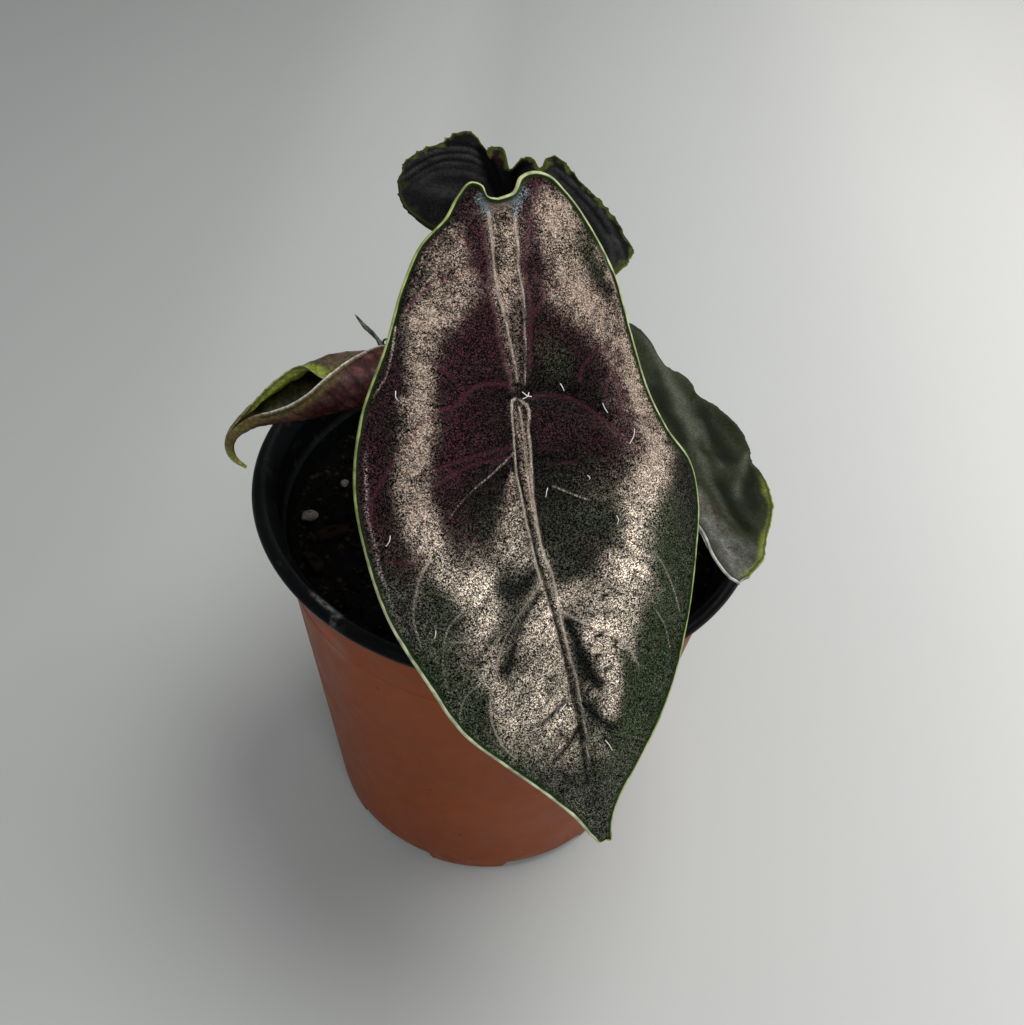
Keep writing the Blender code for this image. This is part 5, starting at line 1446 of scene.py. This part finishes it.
def make_terracotta(settings):
    """Moulded plastic: slow blotches, faint rings from moulding, fine grain, dust near the base and
    marks on the wall."""
    tree = new_material("terracotta_plastic")
    colour = tree.toned(tree.toned(settings.terracotta, 22, 0.16), 240, 0.07)
    height = tree.add("ShaderNodeSeparateXYZ", {"Vector": tree.place()}, "Z")
    streaks = tree.noise(26, 3, 0.6, (1, 1, 0.12))
    colour = tree.mix(tree.ramp(streaks, 0.5, 0.8, 0, 0.28), colour, scaled(settings.terracotta, 0.6))
    dust = tree.ramp(tree.noise(120, 4, 0.6), 0.4, 0.7)
    dusty = tree.times(tree.ramp(height, 0.012, 0, 0, 0.5), dust)
    colour = tree.mix(dusty, colour, (0.3, 0.2, 0.14))
    for bearing, level, size, cover, tone in WALL_MARKS:
        colour = tree.mix(tree.times(wall_mark(tree, bearing, level, size), cover), colour, tone)
    colour = tree.flecked(colour, 0.05, 420, 0.16, (0.12, 0.05, 0.03))
    rings = tree.times(tree.math("SINE", tree.times(height, 2600)), 0.05)
    bumps = tree.plus(tree.plus(tree.noise(1500, 3, 0.6), rings), tree.times(tree.noise(60), 2))
    return tree.finish(colour, tree.ramp(tree.noise(90, 4, 0.6), 0.3, 0.7, 0.42, 0.56),
                       tree.bump(bumps, 0.07, 0.6), 0.22)


def make_lining(settings):
    """Dark plastic: faint scratches and dust, and pale scuffs on the rim."""
    tree = new_material("pot_lining")
    colour = tree.toned(settings.lining, 50, 0.3)
    dust = tree.ramp(tree.noise(300, 5, 0.65), 0.52, 0.78, 0, 0.18)
    colour = tree.mix(dust, colour, (0.012, 0.014, 0.016))
    ragged = tree.ramp(tree.noise(700, 4, 0.7), 0.35, 0.6)
    colour = tree.mix(tree.times(tree.attribute("scuff"), ragged), colour, (0.22, 0.22, 0.21))
    colour = tree.flecked(colour, 0.04, 500, 0.1, (0.06, 0.06, 0.057))
    scratches = tree.noise(160, 5, 0.7, (0.3, 2.6, 1))
    return tree.finish(colour, tree.ramp(scratches, 0.3, 0.7, 0.3, 0.48),
                       tree.bump(tree.plus(scratches, tree.noise(1200)), 0.05, 0.5), 0.11)


# Soil

def soil_height(x, y):
    """Top of the soil: long low waves that fade out at the wall and at the crown."""
    waves = (np.sin(0.17 * x + 0.6) * np.cos(0.15 * y - 0.4) + 0.5 * np.sin(0.36 * x - 0.27 * y)
             + 0.3 * np.cos(0.5 * y + 0.31 * x + 1))
    radius = np.hypot(x, y)
    fade = np.clip((radius - 8) / 8, 0, 1) * np.clip((52 - radius) / 8, 0.25, 1)
    return SOIL_HEIGHT + 1.4 * waves * fade - 1.2 * (radius / 52)**4


def soil_relief(x, y):
    """Soil height with crumbs of three sizes on it: noise folded as 0.5 - |noise|, which gives clods."""
    place = stacked(x, y, 0)
    clods = sum(depth * (0.5 - np.abs(lumps(place, size, seed)))
                for size, depth, seed in ((5.5, 1.1, 101), (2.4, 0.7, 102), (1.1, 0.45, 103)))
    return soil_height(x, y) + clods - 0.3


def make_soil(settings):
    """Closed plug of rings: the top with its relief, the side along the wall, and the bottom."""
    reach = wall_radius(SOIL_HEIGHT) - WALL - 0.15
    t = full_turn(SOIL_COLUMNS)
    radii = reach * np.linspace(0.02, 1, SOIL_RINGS)[:, None]
    x, y = radii * np.cos(t), radii * np.sin(t)
    low = FLOOR + 0.3
    foot = wall_radius(low) - WALL - 1.6
    lower = [stacked(r * np.cos(t), r * np.sin(t), h)
             for r, h in ((reach - 0.4, 86), (foot, low), (foot * 0.5, low))]
    rings = np.concatenate([stacked(x, y, soil_relief(x, y)), lower])[::-1]
    points, *faces = turned(rings, (0, 0, low), (0, 0, soil_height(0, 0)))
    tree = new_material("potting_mix")
    # Near-black colour: painted shade over the soil inside the rim
    colour = tree.mix(tree.ramp(tree.noise(320, 5, 0.65), 0.35, 0.7), scaled(settings.soil, 0.35),
                      scaled(settings.soil, 1.5))
    colour = tree.flecked(tree.toned(colour, 70, 0.35), 0.06, 900, 0.5, (0.02, 0.013, 0.007))
    material = tree.finish(colour, tree.ramp(tree.noise(500), 0.3, 0.7, 0.75, 0.95),
                           tree.bump(tree.noise(1300, 5, 0.7), 0.3, 0.9), 0.04)
    dress(write_piece("soil_bed", points, faces, [material]), "potting_mix", "soil")


def blob():
    """Points and triangles of a small rounded solid, as arrays."""
    bm = bmesh.new()
    bmesh.ops.create_icosphere(bm, subdivisions=1, radius=1)
    points = np.array([vert.co for vert in bm.verts])
    faces = np.array([[vert.index for vert in face.verts] for face in bm.faces])
    bm.free()
    return points, faces


def scatter(rng, centres, sizes, flatten):
    """Copies of the blob, each turned by a random rotation (QR of random numbers), stretched by its
    own three sizes, with every corner moved in or out by up to a quarter, and then flattened."""
    points, faces = blob()
    count = len(centres)
    turns, _ = np.linalg.qr(rng.normal(size=(count, 3, 3)))
    turns *= np.sign(np.linalg.det(turns))[:, None, None]
    shape = points[None] * (1 + 0.25 * rng.uniform(-1, 1, (count, len(points), 1))) * sizes[:, None]
    shape = shape @ turns.transpose(0, 2, 1)
    shape[..., 2] *= flatten
    places = (shape + centres[:, None]).reshape(-1, 3)
    index = (faces[None] + len(points) * np.arange(count)[:, None, None]).reshape(-1, 3)
    return places, index, np.repeat(rng.uniform(0, 1, count), len(points))


def make_crumbs(settings):
    """Loose crumbs and chips of the mix, lying on the soil's top."""
    rng = np.random.default_rng(SEED)
    radius = np.sqrt(rng.uniform(0.045, 0.95, CRUMB_COUNT)) * CRUMB_REACH
    turn = rng.uniform(0, 2 * np.pi, CRUMB_COUNT)
    x, y = radius * np.cos(turn), radius * np.sin(turn)
    unit_size = settings.crumb / MM
    sizes = unit_size * rng.uniform(0.6, 1.9, (CRUMB_COUNT, 1)) * rng.uniform(0.6, 1.4, (CRUMB_COUNT, 3))
    chips = rng.uniform(0, 1, CRUMB_COUNT) > 0.88
    sizes[chips, 0] *= 2.6
    centres = stacked(x, y, soil_relief(x, y) + 0.15 * unit_size)
    points, faces, tone = scatter(rng, centres, sizes, 0.8)
    tree = new_material("soil_crumbs")
    # Near-black crumbs: painted shade over the soil inside the rim
    colour = tree.mix(tree.ramp(tree.attribute("tone"), 0.55, 1), scaled(settings.soil, 0.7),
                      (0.011, 0.007, 0.004))
    material = tree.finish(tree.toned(colour, 500, 0.35), 0.9,
                           tree.bump(tree.noise(1800, 4, 0.6), 0.15, 0.8), 0.04)
    piece = write_piece("soil_crumbs", points, [faces], [material], {"tone": tone})
    dress(piece, "potting_mix")


PERLITE = [("perlite_1", 4.6, 3, 2.2, 20), ("perlite_2", 2.6, 2, 1.6, 70),
           ("perlite_3", 3.6, 2.8, 2.2, 110)]
BARK = [("bark_1", 9, 4, 2.2, 30), ("bark_2", 7, 3.4, 2, -50), ("bark_3", 8, 4.4, 2.4, 15),
        ("bark_4", 9, 3.8, 2.2, -20)]


def make_bits(settings):
    """Perlite and bark: a ball on a grid of two angles, stretched to size, pushed by noise."""
    tree = new_material("perlite")
    pores = tree.ramp(tree.cells(1700), 0.1, 0.42)
    # Dim perlite and bark: painted shade inside the rim
    colour = tree.mix(pores, scaled(settings.perlite, 0.45), tree.toned(settings.perlite, 600, 0.25))
    perlite = tree.finish(colour, 0.9, tree.bump(tree.plus(pores, tree.noise(2500)), 0.2, 0.8))
    tree = new_material("bark")
    fibres = tree.ramp(tree.noise(420, 5, 0.65, (0.3, 1.4, 1.4)), 0.3, 0.7)
    colour = tree.mix(fibres, scaled(settings.bark, 0.4), scaled(settings.bark, 1.7))
    ridges = tree.bump(tree.noise(900, 5, 0.7, (0.3, 1.6, 1.6)), 0.3, 0.9)
    bark = tree.finish(colour, 0.88, ridges, 0.05)
    t = full_turn(40)
    p = np.linspace(-0.5 * np.pi, 0.5 * np.pi, 26)[1:-1][:, None]
    ball, *faces = turned(stacked(np.cos(p) * np.cos(t), np.cos(p) * np.sin(t), np.sin(p)), (0, 0, -1),
                          (0, 0, 1))
    for rows, material, slot, power, lump in ((PERLITE, perlite, "perlite", 0.95, 0.16),
                                              (BARK, bark, "bark", 0.75, 0.12)):
        for seed, (name, length, width, height, turn) in enumerate(rows):
            low, high = (np.array(corner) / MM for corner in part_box(name))
            points = np.sign(ball) * np.abs(ball)**power
            points = points * (1 + lump * rough(points + 7 * seed, 0.9, 3, 110 + seed)[:, None])
            points = points * (length / 2, width / 2, height / 2) * 0.97
            cos, sin = math.cos(math.radians(turn)), math.sin(math.radians(turn))
            points = points @ np.array([[cos, sin, 0], [-sin, cos, 0], [0, 0, 1]]) + (low + high) / 2
            dress(write_piece(name + "_grain", points, faces, [material]), slot, name)


# Lint: white fibres that lie on the front leaf

LINT = [
    [(0.4, -1), (1, -0.2), (1.8, 0.1)], [(0.2, 0.2), (1, -0.1), (1.5, -0.7)],
    [(7.2, -1.2), (7.4, -0.6), (7.8, 0.2)], [(14.6, 3.8), (14.8, 4.8), (15.4, 5.8), (15.2, 5.4)],
    [(20.8, 10), (20.2, 11.2), (19.2, 12.4)], [(-28.2, 19), (-28.6, 20), (-29.2, 20.8)],
    [(-22.3, -5.6), (-22.6, -4.6), (-22.4, -4)], [(1.2, 18.6), (1.4, 17.6), (1.8, 17)],
    [(13.8, 26.6), (14.1, 25.8), (14, 25)], [(11.4, 31.4), (11, 32.4), (11.6, 33)],
    [(4.2, 67), (4.8, 68.2), (5.4, 69.6)], [(-3.8, 58.6), (-2.8, 58), (-2.2, 57.9)],
    [(-24.2, 39), (-24, 38.2), (-23.8, 37.6)], [(9.8, 16.4), (10, 16.8), (10.1, 17.2)],
    [(21, 18.2), (21.3, 18.6), (21.4, 18.7)]]


def make_lint():
    """Thin tubes along short paths on the blade, just above its upper face."""
    shells = []
    outline = FRONT.outline() - FRONT.centre
    for marks in LINT:
        flat = smooth_through(marks, 14)
        a, b = flat.T
        gap = 0.55 + BLADE_THICKNESS / 2 + 0.35 * np.sin(np.linspace(0, np.pi, 14))
        away = flat - FRONT.centre
        index = [np.argmin(np.abs(np.arctan2(*outline.T) - np.arctan2(x, y))) for x, y in away]
        rho = np.clip(np.hypot(*away.T) / np.hypot(*outline[index].T), 0, 1)
        path = FRONT.place(a, b, front_relief(a, b, rho, 0 * a) + gap)
        shells.append(tube(path, np.full(14, 0.085), 8))
    tree = new_material("lint")
    colour = tree.toned((0.78, 0.78, 0.76), 900, 0.15)
    material = tree.finish(colour, tree.ramp(tree.noise(900), 0.3, 0.7, 0.6, 0.8))
    dress(write_piece("lint_fibres", *joined(shells), [material]), "front_leaf")


# Stage

CAMERA_PLACE = (0, -0.1925, 0.2897)
CAMERA_PITCH, CAMERA_YAW, CAMERA_ROLL = 44.7, 0.55, 5.56
FOCAL_PIXELS, IMAGE_WIDTH, SENSOR = 1100, 1024, 36
KEY_LIGHT = ((0.42, 0.16, 1.2), (0, 0, 0.08), 0.9)     # place, aim and size, metres
FILL_LIGHT = ((0.1, -0.8, 0.95), (0, 0, 0.1), 0.7)
KEY_COLOUR, FILL_COLOUR, SKY_COLOUR = (1, 0.99, 0.97), (0.97, 0.99, 1), (0.93, 0.96, 1, 1)
FLOOR_REACH, FLOOR_BEND, BACKDROP_REACH = 900, 300, 1500


def place_on_stage(name, data, place, right, backward):
    """Object that looks along minus the backward direction, with its own x axis to the right."""
    thing = bpy.data.objects.new(name, data)
    matrix = np.eye(4)
    matrix[:3, :3] = np.stack([right, np.cross(backward, right), backward], axis=1)
    matrix[:3, 3] = place
    thing.matrix_world = matrix.T.tolist()
    bpy.context.scene.collection.objects.link(thing)
    return thing


def make_camera():
    pitch, yaw, roll = np.radians([CAMERA_PITCH, CAMERA_YAW, CAMERA_ROLL])
    forward = np.array([math.sin(yaw) * math.cos(pitch), math.cos(yaw) * math.cos(pitch), -math.sin(pitch)])
    level = unit(np.cross(forward, (0, 0, 1)))
    right = level * math.cos(roll) + np.cross(level, forward) * math.sin(roll)
    data = bpy.data.cameras.new("camera")
    data.sensor_fit, data.sensor_width = "HORIZONTAL", SENSOR
    data.lens = FOCAL_PIXELS / IMAGE_WIDTH * SENSOR
    data.clip_start = 0.01
    bpy.context.scene.camera = place_on_stage("camera", data, CAMERA_PLACE, right, -forward)


def make_light(name, place, aim, size, power, colour):
    data = bpy.data.lights.new(name, "AREA")
    data.shape, data.size, data.energy, data.color = "DISK", size, power, colour
    backward = unit(np.array(place) - np.array(aim))
    place_on_stage(name, data, place, unit(np.cross((0, 0.01, 1), backward)), backward)


# Painted light and shade on the floor: its brightness from left to right, mm
FLOOR_TONE = [(-1500, 0.56), (-280, 0.6), (-150, 0.65), (-105, 0.755), (-60, 0.8), (-20, 0.73), (60, 0.845),
              (130, 0.96), (200, 1.12), (280, 1.24), (1500, 1.3)]


def make_floor(settings):
    """Flat floor that turns up into a wall far behind: z = bend (1 - cos) over the bend. It's
    darker and cooler towards the left, by painted light and shade along x."""
    turn = np.linspace(0.1, np.pi / 2, 14)
    y = np.concatenate([np.linspace(-FLOOR_REACH, FLOOR_REACH, 30), FLOOR_REACH + FLOOR_BEND * np.sin(turn),
                        [FLOOR_REACH + FLOOR_BEND]])
    z = np.concatenate([np.zeros(30), FLOOR_BEND * (1 - np.cos(turn)), [BACKDROP_REACH]])
    x = np.linspace(-BACKDROP_REACH, BACKDROP_REACH, 151)
    grid = stacked(x[:, None], y, z)
    index = np.arange(len(x) * len(y)).reshape(len(x), len(y))
    tone = np.repeat(np.interp(x, *zip(*FLOOR_TONE)), len(y))[:, None]
    tone = tone * np.array(settings.floor) * (1 - (1 - tone) * (0.07, 0, 0.01))
    tree = new_material("pale_floor")
    material = tree.finish(tree.toned(tree.attribute("tone", "Color"), 3, 0.02), 0.8, specular=0.15)
    floor = write_piece("floor", grid.reshape(-1, 3), [quads(index)], [material], {"tone": tone})


# Operators

class ALOCASIA_OT_materials(bpy.types.Operator):
    """Make the shader groups that several materials share"""
    bl_idname = "alocasia.materials"
    bl_label = "Shared shader groups"

    def execute(self, context):
        make_grain_group()
        make_fleck_group()
        make_margin_group()
        make_drift_group()
        return {"FINISHED"}


class ALOCASIA_OT_pot(bpy.types.Operator):
    """Make the pot's two-tone shell"""
    bl_idname = "alocasia.pot"
    bl_label = "Pot"

    def execute(self, context):
        make_pot(context.scene.alocasia_pot)
        return {"FINISHED"}


class ALOCASIA_OT_soil(bpy.types.Operator):
    """Make the soil with its crumbs, perlite and bark"""
    bl_idname = "alocasia.soil"
    bl_label = "Soil"

    def execute(self, context):
        for make in (make_soil, make_crumbs, make_bits):
            make(context.scene.alocasia_pot)
        return {"FINISHED"}


class ALOCASIA_OT_stalks(bpy.types.Operator):
    """Make the crown and the leaf stalks"""
    bl_idname = "alocasia.stalks"
    bl_label = "Crown and stalks"

    def execute(self, context):
        make_crown()
        make_stalks()
        return {"FINISHED"}


class ALOCASIA_OT_front_leaf(bpy.types.Operator):
    """Make the large leaf that hangs over the front, and the lint on it"""
    bl_idname = "alocasia.front_leaf"
    bl_label = "Front leaf"

    def execute(self, context):
        dress(make_front_leaf(context.scene.alocasia_leaf), "front_leaf", "front_blade")
        make_lint()
        return {"FINISHED"}


class ALOCASIA_OT_other_leaves(bpy.types.Operator):
    """Make the back leaf and the right leaf"""
    bl_idname = "alocasia.other_leaves"
    bl_label = "Back and right leaves"

    def execute(self, context):
        dress(make_back_leaf(context.scene.alocasia_leaf), "back_leaf", "back_blade")
        dress(make_right_leaf(context.scene.alocasia_leaf), "right_leaf", "right_blade")
        return {"FINISHED"}


class ALOCASIA_OT_young_leaf(bpy.types.Operator):
    """Make the rolled young leaf and the dried thread beside it"""
    bl_idname = "alocasia.young_leaf"
    bl_label = "Young leaf"

    def execute(self, context):
        dress(make_young_leaf(context.scene.alocasia_leaf), "young_leaf", "young_blade")
        make_dried_thread()
        return {"FINISHED"}


class ALOCASIA_OT_stage(bpy.types.Operator):
    """Make the floor, the lights and the camera"""
    bl_idname = "alocasia.stage"
    bl_label = "Stage"

    def execute(self, context):
        settings = context.scene.alocasia_stage
        make_floor(settings)
        make_camera()
        make_light("key_light", *KEY_LIGHT, settings.key_power, KEY_COLOUR)
        make_light("fill_light", *FILL_LIGHT, settings.fill_power, FILL_COLOUR)
        world = bpy.data.worlds.new("studio")
        world.use_nodes = True
        background = world.node_tree.nodes["Background"]
        background.inputs["Color"].default_value = SKY_COLOUR
        background.inputs["Strength"].default_value = settings.sky
        context.scene.world = world
        context.scene.view_settings.view_transform = "Standard"
        return {"FINISHED"}


class ALOCASIA_PT_panel(bpy.types.Panel):
    """Settings and operators of the potted plant"""
    bl_label = "Potted Alocasia"
    bl_idname = "ALOCASIA_PT_panel"
    bl_space_type = "VIEW_3D"
    bl_region_type = "UI"
    bl_category = "Alocasia"

    def draw(self, context):
        for group in (context.scene.alocasia_leaf, context.scene.alocasia_pot, context.scene.alocasia_stage):
            box = self.layout.box()
            for key in group.bl_rna.properties.keys():
                if key not in ("rna_type", "name"):
                    box.prop(group, key)
        for operator in OPERATORS:
            self.layout.operator(operator.bl_idname)


SETTINGS = {"alocasia_leaf": AlocasiaLeafSettings, "alocasia_pot": AlocasiaPotSettings,
            "alocasia_stage": AlocasiaStageSettings}
OPERATORS = (ALOCASIA_OT_materials, ALOCASIA_OT_stage, ALOCASIA_OT_pot, ALOCASIA_OT_soil, ALOCASIA_OT_stalks,
             ALOCASIA_OT_front_leaf, ALOCASIA_OT_other_leaves, ALOCASIA_OT_young_leaf)


def register():
    for cls in (*SETTINGS.values(), *OPERATORS, ALOCASIA_PT_panel):
        bpy.utils.register_class(cls)
    for name, cls in SETTINGS.items():
        setattr(bpy.types.Scene, name, bpy.props.PointerProperty(type=cls))


def unregister():
    for name in SETTINGS:
        delattr(bpy.types.Scene, name)
    for cls in reversed((*SETTINGS.values(), *OPERATORS, ALOCASIA_PT_panel)):
        bpy.utils.unregister_class(cls)


def main():
    register()
    bpy.ops.alocasia.materials()
    bpy.ops.alocasia.stage()
    bpy.ops.alocasia.pot()
    bpy.ops.alocasia.soil()
    bpy.ops.alocasia.stalks()
    bpy.ops.alocasia.front_leaf()
    bpy.ops.alocasia.other_leaves()
    bpy.ops.alocasia.young_leaf()


if __name__ == "__main__":
    main()
